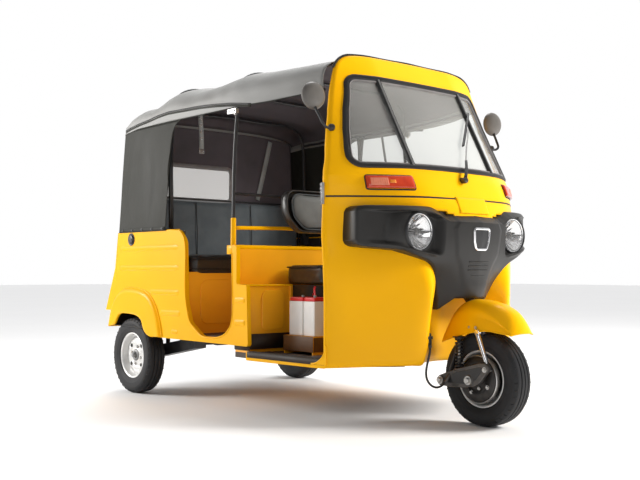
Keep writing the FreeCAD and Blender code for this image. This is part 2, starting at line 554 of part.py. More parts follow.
# ---------------------------------------------------------------- chassis, engine, rear suspension
rail = [box(sx * 280, sx * 318, BULK_Y, 2332, 286, 330) for sx in (-1, 1)]
rail += [box(sx * 274, sx * 324, 1110, 1230, 266, 288) for sx in (-1, 1)]      # jacking pads
rail += [box(-318, 318, 1600, 1640, 270, 320), box(-318, 318, BULK_Y + 10, BULK_Y + 50, 270, 320)]
pivot = cyl((-470, 1620, 292), (1, 0, 0), 17, 940)
nodes["chassis_frame"] = fuse(rail + [pivot])
eng = box(-190, 190, 1880, 2186, 250, 556)
nodes["engine_block"] = eng
arms = []
for sx in (1,):
    arm = Part.makeLoft([Part.makePolygon([V(400, 1592, 262), V(470, 1592, 262), V(470, 1592, 322), V(400, 1592, 322), V(400, 1592, 262)]),
                         Part.makePolygon([V(420, 2050, 176), V(476, 2050, 176), V(476, 2050, 246), V(420, 2050, 246), V(420, 2050, 176)])], True, True)
    hub = cyl((470, WHEELBASE, TYRE_R), (1, 0, 0), 34, 32)
    plate = cyl((494, WHEELBASE, TYRE_R), (1, 0, 0), 96, 8)
    stub = cyl((500, WHEELBASE, TYRE_R), (1, 0, 0), 14, 96)
    arm = fuse([arm, hub, plate, stub]).cut(cyl((300, 1620, 292), (1, 0, 0), 17, 400))
    arms.append(arm)
nodes["rear_suspension_arms"] = both(arms[0])
sh_a, sh_b = V(176, 2008, 304), V(414, 2000, 214)
sh_l = (sh_b - sh_a).Length
shaft = turned([(0, 0), (0, 34), (52, 38), (68, 20), (76, 14), (sh_l - 60, 14), (sh_l - 52, 20), (sh_l - 34, 32), (sh_l, 32), (sh_l, 0)], tup(sh_a), tup(sh_b - sh_a))
shaft = shaft.cut(box(0, 190, 1900, 2100, 200, 400)).cut(box(406, 460, 1900, 2100, 100, 400))
nodes["drive_shafts"] = both(max(shaft.Solids, key=lambda s: s.Volume))
damp = fuse([rod((445, 1905, 262), (452, 1880, 648), 12), rod((446, 1901, 320), (450, 1886, 560), 30)])
damp = damp.cut(nodes["rear_suspension_arms"]).cut(nodes["inner_body"])
nodes["rear_dampers"] = both(max(damp.Solids, key=lambda s: s.Volume))
muff = fuse([rod((-330, 2268, 330), (60, 2268, 330), 52), rod((40, 2268, 330), (150, 2268, 330), 16), rod((140, 2268, 330), (140, 2190, 330), 16)])
muff = muff.cut(nodes["engine_block"]).cut(nodes["chassis_frame"])
nodes["exhaust_muffler"] = max(muff.Solids, key=lambda s: s.Volume)
bump, _ = tube([(-470, 2262, 420), (-470, 2345, 420), (-380, 2363, 420), (380, 2363, 420), (470, 2345, 420), (470, 2262, 420)], 22, 46)
brk = [box(sx * 284, sx * 314, 2332, 2350, 286, 440) for sx in (-1, 1)]
bump = fuse([bump] + brk)
bump = bump.cut(nodes["rear_panel"]).cut(nodes["chassis_frame"])
tow = box(-60, 60, 2318, 2376, 372, 384)
tow_eye_y = 2352.0
tow = fuse([tow, box(-300, 300, 2318, 2332, 330, 400)])
bump = bump.fuse(tow).removeSplitter()
bump = bump.cut(cyl((0, tow_eye_y, 300), (0, 0, 1), 10, 84.2))
bump = bump.cut(nodes["chassis_frame"]).cut(nodes["exhaust_muffler"])
nodes["rear_bumper"] = max(bump.Solids, key=lambda s: s.Volume)
tl = yz([(2146, 780), (2172, 780), (2184, 690), (2157, 690)], 450, 580)
tl = tl.cut(nodes["rear_panel"])
nodes["tail_lamps"] = both(max(tl.Solids, key=lambda s: s.Volume))
pl = Part.makeBox(280, 3, 110, V(-140, 0, 0))
pl.rotate(V(0, 0, 0), V(1, 0, 0), math.degrees(math.atan2(2158 - REAR_Y, BODY_TOP - 690)))
pl.translate(V(0, REAR_Y + (BODY_TOP - 735) * (2158 - REAR_Y) / (BODY_TOP - 690) + 0.3, 735))
for x in (-75, 75):
    pl = pl.cut(cyl((x, 2100, 790), (0, 1, 0), 3.2, 120))
nodes["number_plate"] = pl.cut(nodes["rear_panel"])

# ---------------------------------------------------------------- steering and the front wheel's link
col = Part.makeCylinder(COL_R, 560, steer(-40), AX)
crown = fuse([Part.makeCylinder(30, 40, steer(-56), AX), box(ARM_X + 4, 26, 34, 92, 448, 486)])
leg = Part.makeLoft([Part.makePolygon([V(ARM_X + 14, 30, 486), V(ARM_X + 26, 30, 486), V(ARM_X + 26, 90, 486), V(ARM_X + 14, 90, 486), V(ARM_X + 14, 30, 486)]),
                     Part.makePolygon([V(ARM_X + 14, 138, 200), V(ARM_X + 26, 138, 200), V(ARM_X + 26, 182, 200), V(ARM_X + 14, 182, 200), V(ARM_X + 14, 138, 200)])], True, True)
leg_eye = cyl((ARM_X - 12, 160, 196), (1, 0, 0), 22, 38)
ear_d = box(ARM_X + 4, ARM_X + 26, -48, 40, 404, 470).fuse(cyl((ARM_X - 16, -30, 402), (1, 0, 0), 7, 40))
seat = box(ARM_X - 30, ARM_X + 26, 52, 98, 386, 392)
column = fuse([col, crown, leg, leg_eye, ear_d, seat])
nodes["steering_column"] = column
arm_pts = [(176, 172), (176, 214), (70, 252), (-60, 286), (-106, 276), (-104, 248), (-40, 176), (40, 166)]
link = yz(arm_pts, ARM_X - 34, ARM_X - 13, 12)
link = link.fuse(cyl((ARM_X - 40, 160, 196), (1, 0, 0), 14, 28))
hubl = cyl((ARM_X - 40, 0, TYRE_R), (1, 0, 0), 24, 60)
boss_a, boss_b = V(-130, 114, 206), V(-141, 118, 189)
boss_d = boss_a - boss_b
boss_d.normalize()
link = fuse([link, Part.makeCylinder(8, 30, boss_a, boss_d), hubl, cyl((ARM_X - 34, -86, 258), (1, 0, 0), 9, 34), cyl((ARM_X + 18, 0, TYRE_R), (1, 0, 0), 98, 8), cyl((ARM_X + 20, 0, TYRE_R), (1, 0, 0), 12, 126), box(ARM_X - 34, ARM_X + 12, 50, 96, 232, 248)])
link = link.cut(nodes["steering_column"])
nodes["front_link"] = max(link.Solids, key=lambda s: s.Volume)
spring = turned([(0, 0), (0, 19), (137.3, 19), (137.3, 0)], (ARM_X - 8, 75, 248.4), (0, 0.0, 1))
spring = spring.cut(nodes["steering_column"]).cut(nodes["front_link"])
nodes["front_spring"] = max(spring.Solids, key=lambda s: s.Volume)
dampf = fuse([rod((ARM_X - 6, -26, 412), (ARM_X - 6, -62, 318), 12), rod((ARM_X - 6, -60, 324), (ARM_X - 6, -84, 262), 7)])
dampf = dampf.cut(nodes["steering_column"]).cut(nodes["front_link"])
nodes["front_damper"] = max(dampf.Solids, key=lambda s: s.Volume)

# handlebar: stem, swept bar with grips, round instrument head
bar_pts = [tup(steer(528, x, e)) for x, e in [(0, -6), (88, 24), (186, 122), (286, 190)]]
hb, _ = tube(bar_pts, 11, 45)
grip = rod(tup(steer(528, 196, 129)), tup(steer(528, 288, 191.4)), 16)
hb_all = fuse([hb, grip])
pod = Part.makeCylinder(62, 60, steer(508, 0, -4), AX)
handlebar = fuse([hb_all, mirror(hb_all), pod]).cut(nodes["steering_column"])
nodes["handlebar"] = handlebar

# front fender: arched hood over the tyre with side skirts
FEN = [  # y, crest z, half width at the shoulder, shoulder drop, skirt half width, skirt low z
    (-214, 416, 46, 8, 54, 404), (-196, 452, 62, 34, 74, 406), (-160, 498, 68, 52, 84, 412), (-114, 522, 72, 48, 90, 417),
    (-60, 540, 73, 38, 94, 420), (-10, 549, 73, 34, 97, 414), (60, 549, 73, 38, 98, 399), (115, 527, 72, 44, 96, 383),
    (155, 488, 70, 50, 94, 370), (178, 450, 67, 50, 92, 361)]


def fen_wire(y, crest, sw, drop, kw, low, t):
    f = [(kw, low), (kw * 0.99, low + 0.35 * (crest - drop - low)), (sw + 0.45 * (kw - sw), crest - drop - 0.18 * (crest - drop - low)), (sw * 0.82, crest - drop * 0.55), (sw * 0.4, crest - drop * 0.12), (0, crest)]
    pts = [(-x, z) for x, z in f] + [(x, z) for x, z in reversed(f[:-1])]
    return band_wire(pts, -t, lambda p: (p[0], y, p[1]))


fen = Part.makeLoft([fen_wire(*r, 5.0) for r in FEN], True, False)
fen = fen.cut(nodes["steering_column"])
nodes["front_fender"] = max(fen.Solids, key=lambda s: s.Volume)


# ---------------------------------------------------------------- wheels
def tyre(cx, cy):
    w, r = TYRE_W / 2, TYRE_R
    prof = [(-0.62 * w, RIM_R), (-0.8 * w, RIM_R + 8), (-0.96 * w, RIM_R + 30), (-w, RIM_R + 52), (-0.93 * w, r - 16), (-0.76 * w, r - 4), (-0.4 * w, r - 0.6), (0, r),
            (0.4 * w, r - 0.6), (0.76 * w, r - 4), (0.93 * w, r - 16), (w, RIM_R + 52), (0.96 * w, RIM_R + 30), (0.8 * w, RIM_R + 8), (0.62 * w, RIM_R)]
    return turned(prof, (cx, cy, TYRE_R), (1, 0, 0))


def rim(cx, cy, out, bore, hub_in, hub_out, disc):
    """out: +1 or -1, the side the dish faces."""
    w = 0.60 * TYRE_W / 2
    barrel = turned([(-w - 4, RIM_R), (-w - 4, RIM_R - 12), (w + 4, RIM_R - 12), (w + 4, RIM_R)], (cx, cy, TYRE_R), (1, 0, 0))
    d = turned([(disc - 4, 20), (disc + 4, 20), (disc + 4, RIM_R - 6), (disc - 4, RIM_R - 6)], (cx, cy, TYRE_R), (out, 0, 0))
    hub = turned([(hub_in, bore), (hub_out, bore), (hub_out, 34), (hub_in, 34)], (cx, cy, TYRE_R), (out, 0, 0))
    s = fuse([barrel, d, hub])
    if disc:
        for k in range(4):
            a = math.radians(45 + 90 * k)
            s = s.cut(cyl((cx + out * (disc - 12), cy + 72 * math.cos(a), TYRE_R + 72 * math.sin(a)), (out, 0, 0), 11, 24))
    return s


nodes["front_tyre"] = tyre(0, 0)
nodes["front_rim"] = rim(0, 0, 1, 12.3, -56, 52, 12)
hw = TRACK / 2
nodes["rear_tyre_left"] = tyre(hw, WHEELBASE)
nodes["rear_tyre_right"] = tyre(-hw, WHEELBASE)
nodes["rear_rim_left"] = rim(hw, WHEELBASE, 1, 14.3, -66, 26, 12)
nodes["rear_rim_right"] = rim(-hw, WHEELBASE, -1, 14.3, -66, 26, 12)

# ---------------------------------------------------------------- brake hose, from the floor edge to the back plate
HOSE = [(-249, 108, 364), (-252, 102, 330), (-252, 118, 284), (-248, 132, 242), (-237, 138, 207), (-214, 136, 180), (-184, 130, 167), (-157, 123, 174), (-141, 118, 189), (-130, 114, 206)]
hose, hose_len = tube(HOSE, 5.0, None)
for k in range(1, len(HOSE) - 1):
    a, p, b = V(*HOSE[k - 1]), V(*HOSE[k]), V(*HOSE[k + 1])
    turn = (p - a).getAngle(b - p)
    print("hose point %d turn %.0f deg radius %.0f" % (k, math.degrees(turn), 0.45 * min((p - a).Length, (b - p).Length) / math.tan(turn / 2)))
print("hose length %.1f mm, volume check %.3f" % (hose_len, hose.Volume / (math.pi * 25 * hose_len)))
nodes["brake_hose"] = hose
h0, h1 = V(*HOSE[0]), V(*HOSE[1])
dh = (h0 - h1)
dh.normalize()
gland = fuse([Part.makeCylinder(9, 44, h0, dh), box(-268, -238, 100, 180, 384, 396)]).cut(nodes["front_apron"])
nodes["hose_gland"] = max([q for q in gland.Solids if q.isInside(h0 + dh * 20, 0.1, True)], key=lambda q: q.Volume)

# ---------------------------------------------------------------- write
for name, shape in nodes.items():
    s = shape.copy()
    s.translate(V(0, FRONT_AXLE, 0))
    ok = s.isValid()
    print("%-22s solids %d faces %d vol %.4f l valid %s" % (name, len(s.Solids), len(s.Faces), s.Volume / 1e6, ok))
    s.exportStep("parts/%s.step" % name)
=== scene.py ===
import bpy, bmesh, math
import numpy as np
from mathutils import Vector, Matrix

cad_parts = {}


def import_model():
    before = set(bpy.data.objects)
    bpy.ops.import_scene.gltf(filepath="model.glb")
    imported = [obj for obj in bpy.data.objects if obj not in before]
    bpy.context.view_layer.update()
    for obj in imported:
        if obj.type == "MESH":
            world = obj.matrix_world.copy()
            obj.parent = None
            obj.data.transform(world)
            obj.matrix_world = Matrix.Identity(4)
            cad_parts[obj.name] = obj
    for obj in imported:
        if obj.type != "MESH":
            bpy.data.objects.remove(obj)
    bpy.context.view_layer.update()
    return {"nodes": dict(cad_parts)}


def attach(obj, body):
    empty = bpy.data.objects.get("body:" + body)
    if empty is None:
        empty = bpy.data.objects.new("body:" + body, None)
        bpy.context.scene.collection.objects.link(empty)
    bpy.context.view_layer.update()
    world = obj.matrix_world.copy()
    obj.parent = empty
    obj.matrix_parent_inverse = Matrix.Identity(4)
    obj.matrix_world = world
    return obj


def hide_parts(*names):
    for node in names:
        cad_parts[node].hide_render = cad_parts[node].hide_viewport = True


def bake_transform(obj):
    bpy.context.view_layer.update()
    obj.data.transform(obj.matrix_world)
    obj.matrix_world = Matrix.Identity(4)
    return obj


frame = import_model()
NODE = frame["nodes"]
FA = -1085.5          # y of the front axle; everything below is in millimetres with y = 0 at the front axle
PI = math.pi


def P(p):
    return (p[0] / 1000.0, (p[1] + FA) / 1000.0, p[2] / 1000.0)


# =====================================================================================================
# geometry helpers
# =====================================================================================================
def csp(t, y, q):
    """Natural cubic spline through (t, y), read at q."""
    t = np.asarray(t, float)
    y = np.asarray(y, float)
    one = y.ndim == 1
    if one:
        y = y[:, None]
    n = len(t)
    h = np.diff(t)
    A = np.zeros((n, n))
    B = np.zeros((n, y.shape[1]))
    A[0, 0] = A[-1, -1] = 1
    for i in range(1, n - 1):
        A[i, i - 1], A[i, i], A[i, i + 1] = h[i - 1], 2 * (h[i - 1] + h[i]), h[i]
        B[i] = 6 * ((y[i + 1] - y[i]) / h[i] - (y[i] - y[i - 1]) / h[i - 1])
    M = np.linalg.solve(A, B)
    q = np.asarray(q, float)
    shp = q.shape
    q = q.ravel()
    k = np.clip(np.searchsorted(t, q, side="right") - 1, 0, n - 2)
    a, b, H = (q - t[k])[:, None], (t[k + 1] - q)[:, None], h[k][:, None]
    out = (M[k] * b ** 3 + M[k + 1] * a ** 3) / (6 * H) + (y[k] / H - M[k] * H / 6) * b + (y[k + 1] / H - M[k + 1] * H / 6) * a
    return out[:, 0].reshape(shp) if one else out.reshape(shp + (y.shape[1],))


def chord(p):
    p = np.asarray(p, float)
    return np.concatenate([[0], np.cumsum(np.linalg.norm(np.diff(p, axis=0), axis=1))])


def through(p, n, closed=False):
    """n points on a smooth curve through p, evenly spaced."""
    p = np.asarray(p, float)
    if closed:
        k = len(p)
        q = np.vstack([p[-4:], p, p[:5]])
        t = chord(q)
        t0, t1 = t[4], t[4 + k]
        fine = csp(t, q, np.linspace(t0, t1, n * 6 + 1))
    else:
        t = chord(p)
        fine = csp(t, p, np.linspace(0, t[-1], n * 6)) if len(p) > 2 else np.linspace(p[0], p[1], n * 6)
    return resample(fine, n, closed)


def resample(p, n, closed=False):
    """n evenly spaced points along a polyline. closed: the polyline's last point repeats its first."""
    p = np.asarray(p, float)
    t = chord(p)
    q = np.linspace(0, t[-1], n + 1)[:-1] if closed else np.linspace(0, t[-1], n)
    return np.stack([np.interp(q, t, p[:, i]) for i in range(p.shape[1])], 1)


def outline(pts, radii, arc=10):
    """Rounded polygon as a closed polyline (first point repeated at the end)."""
    pts = [np.asarray(p, float) for p in pts]
    n = len(pts)
    if not hasattr(radii, "__len__"):
        radii = [radii] * n
    out = []
    for i in range(n):
        a, p, b = pts[i - 1], pts[i], pts[(i + 1) % n]
        u, w = (a - p) / np.linalg.norm(a - p), (b - p) / np.linalg.norm(b - p)
        ang = math.acos(max(-1, min(1, float(u @ w))))
        r = radii[i]
        if r < 0.05 or ang > math.radians(177):
            out.append(p)
            continue
        d = r / math.tan(ang / 2)
        c = p + (u + w) / np.linalg.norm(u + w) * (r / math.sin(ang / 2))
        s, e = p + u * d - c, p + w * d - c
        th = math.pi - ang
        for k in range(arc + 1):
            f = k / arc
            out.append(c + (math.sin((1 - f) * th) * s + math.sin(f * th) * e) / math.sin(th) if th > 1e-4 else c + s)
    out.append(out[0])
    return np.array(out)


def smooth01(t):
    t = np.clip(t, 0, 1)
    return t * t * (3 - 2 * t)


def link(o):
    bpy.context.scene.collection.objects.link(o)
    return o


def obj(name, verts, faces, mat, body="body", smooth=None, slot=None, replaces=(), mats=None, face_mat=None, ride=True):
    me = bpy.data.meshes.new(name)
    me.from_pydata([P(v) for v in verts], [], [tuple(int(i) for i in f) for f in faces])
    me.update()
    o = link(bpy.data.objects.new(name, me))
    for m in (mats or [mat]):
        me.materials.append(m)
    if face_mat is not None:
        me.polygons.foreach_set("material_index", list(face_mat))
    me.polygons.foreach_set("use_smooth", [True] * len(me.polygons))
    if smooth is not None:
        me.set_sharp_from_angle(angle=math.radians(smooth))
    if ride:
        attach(o, body)
    if replaces:
        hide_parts(*replaces)
    return o


def grid_faces(nv, nu, cu=False, cv=False, flip=False, base=0):
    F = []
    for j in range(nv if cv else nv - 1):
        for i in range(nu if cu else nu - 1):
            a, b = j * nu + i, j * nu + (i + 1) % nu
            c, d = ((j + 1) % nv) * nu + (i + 1) % nu, ((j + 1) % nv) * nu + i
            F.append((base + a, base + d, base + c, base + b) if flip else (base + a, base + b, base + c, base + d))
    return F


def grid(name, G, mat, thick=0.0, flip=False, cu=False, cv=False, offset=-1.0, even=True, **kw):
    """Surface from an array (rows, columns, 3), with an optional wall thickness put behind it."""
    G = np.asarray(G, float)
    nv, nu = G.shape[:2]
    o = obj(name, G.reshape(-1, 3), grid_faces(nv, nu, cu, cv, flip), mat, **kw)
    if thick:
        m = o.modifiers.new("wall", "SOLIDIFY")
        m.thickness = thick / 1000.0
        m.offset = offset
        m.use_even_offset = even
        m.use_quality_normals = True
    return o


def bevel(o, w, seg=3, angle=35, prof=0.5):
    m = o.modifiers.new("edge", "BEVEL")
    m.width = w / 1000.0
    m.segments = seg
    m.limit_method = "ANGLE"
    m.angle_limit = math.radians(angle)
    m.harden_normals = False
    m.profile = prof
    return o


def subsurf(o, n=1):
    m = o.modifiers.new("sub", "SUBSURF")
    m.levels = n
    m.render_levels = n
    return o


def frames(p, closed=False, up=None):
    """Tangent and two cross directions along a path, turned as little as possible."""
    p = np.asarray(p, float)
    n = len(p)
    if closed:
        t = np.roll(p, -1, 0) - np.roll(p, 1, 0)
    else:
        t = np.gradient(p, axis=0)
    t /= np.linalg.norm(t, axis=1)[:, None]
    a = np.zeros_like(p)
    ref = np.array(up if up is not None else ([0, 0, 1] if abs(t[0][2]) < 0.9 else [0, 1, 0]), float)
    v = ref - (ref @ t[0]) * t[0]
    v /= np.linalg.norm(v)
    for i in range(n):
        v = v - (v @ t[i]) * t[i]
        v /= np.linalg.norm(v)
        a[i] = v
    b = np.cross(t, a)
    return t, a, b


def tube_data(p, r, segs=12, closed=False, caps=True, up=None, squash=1.0, base=0):
    p = np.asarray(p, float)
    n = len(p)
    r = np.broadcast_to(np.asarray(r, float), (n,))
    t, a, b = frames(p, closed, up)
    th = np.arange(segs) / segs * 2 * PI
    V = (p[:, None, :] + r[:, None, None] * (np.cos(th)[None, :, None] * a[:, None, :] * squash + np.sin(th)[None, :, None] * b[:, None, :])).reshape(-1, 3)
    F = grid_faces(n, segs, cu=True, cv=closed, base=base)
    V = list(V)
    if caps and not closed:
        V.append(p[0])
        V.append(p[-1])
        c0, c1 = base + n * segs, base + n * segs + 1
        for i in range(segs):
            F.append((c0, base + (i + 1) % segs, base + i))
            F.append((c1, base + (n - 1) * segs + i, base + (n - 1) * segs + (i + 1) % segs))
    return V, F


def tube(name, p, r, mat, segs=12, closed=False, caps=True, up=None, squash=1.0, **kw):
    V, F = tube_data(p, r, segs, closed, caps, up, squash)
    return obj(name, V, F, mat, **kw)


def merge(parts):
    """Join (verts, faces) lists."""
    V, F = [], []
    for v, f in parts:
        b = len(V)
        V += list(v)
        F += [tuple(i + b for i in q) for q in f]
    return V, F


def tubes(name, runs, mat, segs=10, **kw):
    V, F = merge([tube_data(p, r, segs) for p, r in runs])
    return obj(name, V, F, mat, **kw)


def lathe_data(prof, c, d, segs=48, closed=True, ref=None, a0=0.0, a1=2 * PI):
    """Revolve (along, radius) points about the line through c along d. closed: the profile is a loop."""
    c = np.asarray(c, float)
    d = np.asarray(d, float) / np.linalg.norm(d)
    r = np.array(ref if ref is not None else ([0, 0, 1] if abs(d[2]) < 0.9 else [0, 1, 0]), float)
    u = r - (r @ d) * d
    u /= np.linalg.norm(u)
    w = np.cross(d, u)
    full = abs(a1 - a0 - 2 * PI) < 1e-6
    th = a0 + np.arange(segs if full else segs + 1) / segs * (a1 - a0)
    n = len(prof)
    V = []
    for s, rad in prof:
        for k in th:
            V.append(c + d * s + (u * math.cos(k) + w * math.sin(k)) * rad)
    F = grid_faces(n, len(th), cu=full, cv=closed, flip=True)
    return V, F


def lathe(name, prof, c, d, mat, segs=48, closed=True, **kw):
    V, F = lathe_data(prof, c, d, segs, closed)
    o = obj(name, V, F, mat, **kw)
    clean(o)
    return o


def clean(o, dist=1e-5):
    bm = bmesh.new()
    bm.from_mesh(o.data)
    bmesh.ops.remove_doubles(bm, verts=bm.verts, dist=dist)
    bmesh.ops.dissolve_degenerate(bm, dist=1e-6, edges=bm.edges)
    bmesh.ops.recalc_face_normals(bm, faces=bm.faces)
    bm.to_mesh(o.data)
    bm.free()
    return o


def prism_data(pts, vec):
    """Closed prism: pts a polygon in space, pushed along vec."""
    pts = [np.asarray(p, float) for p in pts]
    if np.linalg.norm(pts[0] - pts[-1]) < 1e-6:
        pts = pts[:-1]
    n = len(pts)
    v = np.asarray(vec, float)
    V = pts + [p + v for p in pts]
    F = [tuple(range(n))[::-1], tuple(range(n, 2 * n))]
    F += [(i, (i + 1) % n, n + (i + 1) % n, n + i) for i in range(n)]
    return V, F


def prism(name, pts, vec, mat, bev=0, seg=2, **kw):
    V, F = prism_data(pts, vec)
    o = obj(name, V, F, mat, smooth=30, **kw)
    clean(o)
    if bev:
        bevel(o, bev, seg)
    return o


def box_data(x0, x1, y0, y1, z0, z1):
    V = [(x, y, z) for z in (z0, z1) for y in (y0, y1) for x in (x0, x1)]
    F = [(0, 2, 3, 1), (4, 5, 7, 6), (0, 1, 5, 4), (2, 6, 7, 3), (0, 4, 6, 2), (1, 3, 7, 5)]
    return V, F


def mirror_x(V, F):
    return [(-v[0], v[1], v[2]) for v in V], [tuple(reversed(f)) for f in F]


def both_sides(V, F):
    return merge([(V, F), mirror_x(V, F)])


def strip_data(path, nrm, prof, closed=False, caps=True):
    """Sweep a profile (b, n): b across the path in the surface, n out of the surface."""
    path = np.asarray(path, float)
    nrm = np.asarray(nrm, float)
    n = len(path)
    t = (np.roll(path, -1, 0) - np.roll(path, 1, 0)) if closed else np.gradient(path, axis=0)
    t /= np.linalg.norm(t, axis=1)[:, None]
    nn = nrm - (nrm * t).sum(1)[:, None] * t
    nn /= np.linalg.norm(nn, axis=1)[:, None]
    b = np.cross(t, nn)
    V = []
    for i in range(n):
        for pb, pn in prof:
            V.append(path[i] + b[i] * pb + nn[i] * pn)
    m = len(prof)
    F = grid_faces(n, m, cu=True, cv=closed)
    if caps and not closed:
        F.append(tuple(range(m))[::-1])
        F.append(tuple(range((n - 1) * m, n * m)))
    return V, F


def strip(name, path, nrm, prof, mat, closed=False, **kw):
    V, F = strip_data(path, nrm, prof, closed)
    o = obj(name, V, F, mat, smooth=45, **kw)
    clean(o)
    return o


def half_round(w, h, n=7, sink=2.0):
    """Profile of a bead: width w, height h above the surface, sunk a little."""
    return [(w / 2, -sink)] + [(w / 2 * math.cos(k * PI / (n - 1)), h * math.sin(k * PI / (n - 1))) for k in range(n)] + [(-w / 2, -sink)]


def flat_bar(w, h, r=1.0, sink=1.0):
    return [(w / 2, -sink), (w / 2, h - r), (w / 2 - r, h), (-w / 2 + r, h), (-w / 2, h - r), (-w / 2, -sink)]


def bolt_data(c, d, r=6, h=4):
    """Hexagon head with a washer."""
    V1, F1 = lathe_data([(0, 0), (0, r * 1.5), (1.2, r * 1.5), (1.2, 0)], c, d, 16)
    V2, F2 = lathe_data([(1.2, 0), (1.2, r), (1.2 + h * 0.8, r), (1.2 + h, r * 0.85), (1.2 + h, 0)], c, d, 6)
    return merge([(V1, F1), (V2, F2)])


def bolts(name, items, mat, **kw):
    V, F = merge([bolt_data(*i) for i in items])
    o = obj(name, V, F, mat, smooth=30, **kw)
    clean(o)
    return o


# =====================================================================================================
# materials
# =====================================================================================================
def base_mat(name):
    m = bpy.data.materials.new(name)
    m.use_nodes = True
    nt = m.node_tree
    nt.nodes.clear()
    out = nt.nodes.new("ShaderNodeOutputMaterial")
    b = nt.nodes.new("ShaderNodeBsdfPrincipled")
    nt.links.new(b.outputs[0], out.inputs[0])
    tc = nt.nodes.new("ShaderNodeTexCoord")
    return m, nt, b, tc


def noise(nt, tc, scale, detail=3.0, rough=0.5, dist=0.0, stretch=None):
    n = nt.nodes.new("ShaderNodeTexNoise")
    n.inputs["Scale"].default_value = scale
    n.inputs["Detail"].default_value = detail
    n.inputs["Roughness"].default_value = rough
    n.inputs["Distortion"].default_value = dist
    if stretch:
        mp = nt.nodes.new("ShaderNodeMapping")
        mp.inputs["Scale"].default_value = stretch
        nt.links.new(tc.outputs["Object"], mp.inputs[0])
        nt.links.new(mp.outputs[0], n.inputs["Vector"])
    else:
        nt.links.new(tc.outputs["Object"], n.inputs["Vector"])
    return n


def ramp(nt, src, stops):
    r = nt.nodes.new("ShaderNodeValToRGB")
    e = r.color_ramp.elements
    while len(e) < len(stops):
        e.new(0.5)
    for k, (p, c) in enumerate(stops):
        e[k].position = p
        e[k].color = (c[0], c[1], c[2], 1) if hasattr(c, "__len__") else (c, c, c, 1)
    nt.links.new(src, r.inputs[0])
    return r


def mat(name, c1, c2=None, rough=(0.4, 0.5), scale=8.0, metal=0.0, coat=0.0, coat_rough=0.1, bumps=((300.0, 0.1, 0.0003),), spec=0.5, sheen=0.0, voronoi=None, stretch=None, ior=1.5):
    m, nt, b, tc = base_mat(name)
    c2 = c2 or tuple(c * 0.85 for c in c1)
    n = noise(nt, tc, scale, 4.0, 0.55, 0.3, stretch)
    cr = ramp(nt, n.outputs[0], [(0.35, c2), (0.65, c1)])
    nt.links.new(cr.outputs[0], b.inputs["Base Color"])
    rr = ramp(nt, n.outputs[0], [(0.3, rough[0]), (0.7, rough[1])])
    nt.links.new(rr.outputs[0], b.inputs["Roughness"])
    b.inputs["Metallic"].default_value = metal
    b.inputs["Specular IOR Level"].default_value = spec
    b.inputs["IOR"].default_value = ior
    b.inputs["Coat Weight"].default_value = coat
    b.inputs["Coat Roughness"].default_value = coat_rough
    if sheen:
        b.inputs["Sheen Weight"].default_value = sheen
        b.inputs["Sheen Roughness"].default_value = 0.5
    last = None
    for s, st, d in bumps:
        bn = noise(nt, tc, s, 2.0, 0.6)
        bu = nt.nodes.new("ShaderNodeBump")
        bu.inputs["Strength"].default_value = st
        bu.inputs["Distance"].default_value = d
        nt.links.new(bn.outputs[0], bu.inputs["Height"])
        if last:
            nt.links.new(last.outputs[0], bu.inputs["Normal"])
        last = bu
    if voronoi:
        s, st, d = voronoi
        vo = nt.nodes.new("ShaderNodeTexVoronoi")
        vo.feature = "DISTANCE_TO_EDGE"
        vo.inputs["Scale"].default_value = s
        nt.links.new(tc.outputs["Object"], vo.inputs["Vector"])
        vr = ramp(nt, vo.outputs[0], [(0.0, 0.0), (0.12, 1.0)])
        bu = nt.nodes.new("ShaderNodeBump")
        bu.inputs["Strength"].default_value = st
        bu.inputs["Distance"].default_value = d
        nt.links.new(vr.outputs[0], bu.inputs["Height"])
        if last:
            nt.links.new(last.outputs[0], bu.inputs["Normal"])
        last = bu
    if last:
        nt.links.new(last.outputs[0], b.inputs["Normal"])
    return m


YELLOW = mat("paint_yellow", (0.90, 0.445, 0.001), (0.87, 0.42, 0.001), rough=(0.33, 0.39), scale=2.2, coat=0.07, coat_rough=0.10, spec=0.11, bumps=((900.0, 0.03, 0.0002), (14.0, 0.03, 0.0012)))
YELLOW_IN = mat("paint_yellow_inside", (0.93, 0.41, 0.008), (0.86, 0.37, 0.007), rough=(0.42, 0.55), scale=5.0, coat=0.15, bumps=((500.0, 0.05, 0.0003),))
MASK = mat("mask_plastic", (0.021, 0.020, 0.019), (0.017, 0.016, 0.015), rough=(0.40, 0.47), scale=9.0, bumps=((1400.0, 0.16, 0.0002),), spec=0.34)
BLACKP = mat("black_plastic", (0.018, 0.018, 0.019), (0.012, 0.012, 0.013), rough=(0.38, 0.5), scale=14.0, bumps=((900.0, 0.12, 0.0002),))
RUBBER = mat("seal_rubber", (0.016, 0.015, 0.015), (0.010, 0.010, 0.010), rough=(0.45, 0.6), scale=20.0, bumps=((700.0, 0.1, 0.0002),))
LIPGREY = mat("seal_lip", (0.20, 0.185, 0.18), (0.14, 0.13, 0.13), rough=(0.35, 0.45), scale=16.0, bumps=((700.0, 0.05, 0.0002),))
CHROME = mat("chrome", (0.86, 0.86, 0.87), (0.78, 0.78, 0.79), rough=(0.08, 0.14), scale=20.0, metal=1.0, bumps=((120.0, 0.02, 0.0003),))
STEEL = mat("zinc_steel", (0.55, 0.54, 0.52), (0.42, 0.41, 0.40), rough=(0.28, 0.42), scale=30.0, metal=1.0, bumps=((220.0, 0.08, 0.0003),))
DARKSTEEL = mat("dark_chassis_paint", (0.022, 0.022, 0.024), (0.012, 0.012, 0.013), rough=(0.35, 0.55), scale=12.0, coat=0.1, bumps=((260.0, 0.12, 0.0004),))
GREYSTEEL = mat("grey_link_metal", (0.13, 0.122, 0.115), (0.075, 0.07, 0.066), rough=(0.35, 0.5), scale=26.0, metal=0.85, bumps=((240.0, 0.14, 0.0004),))
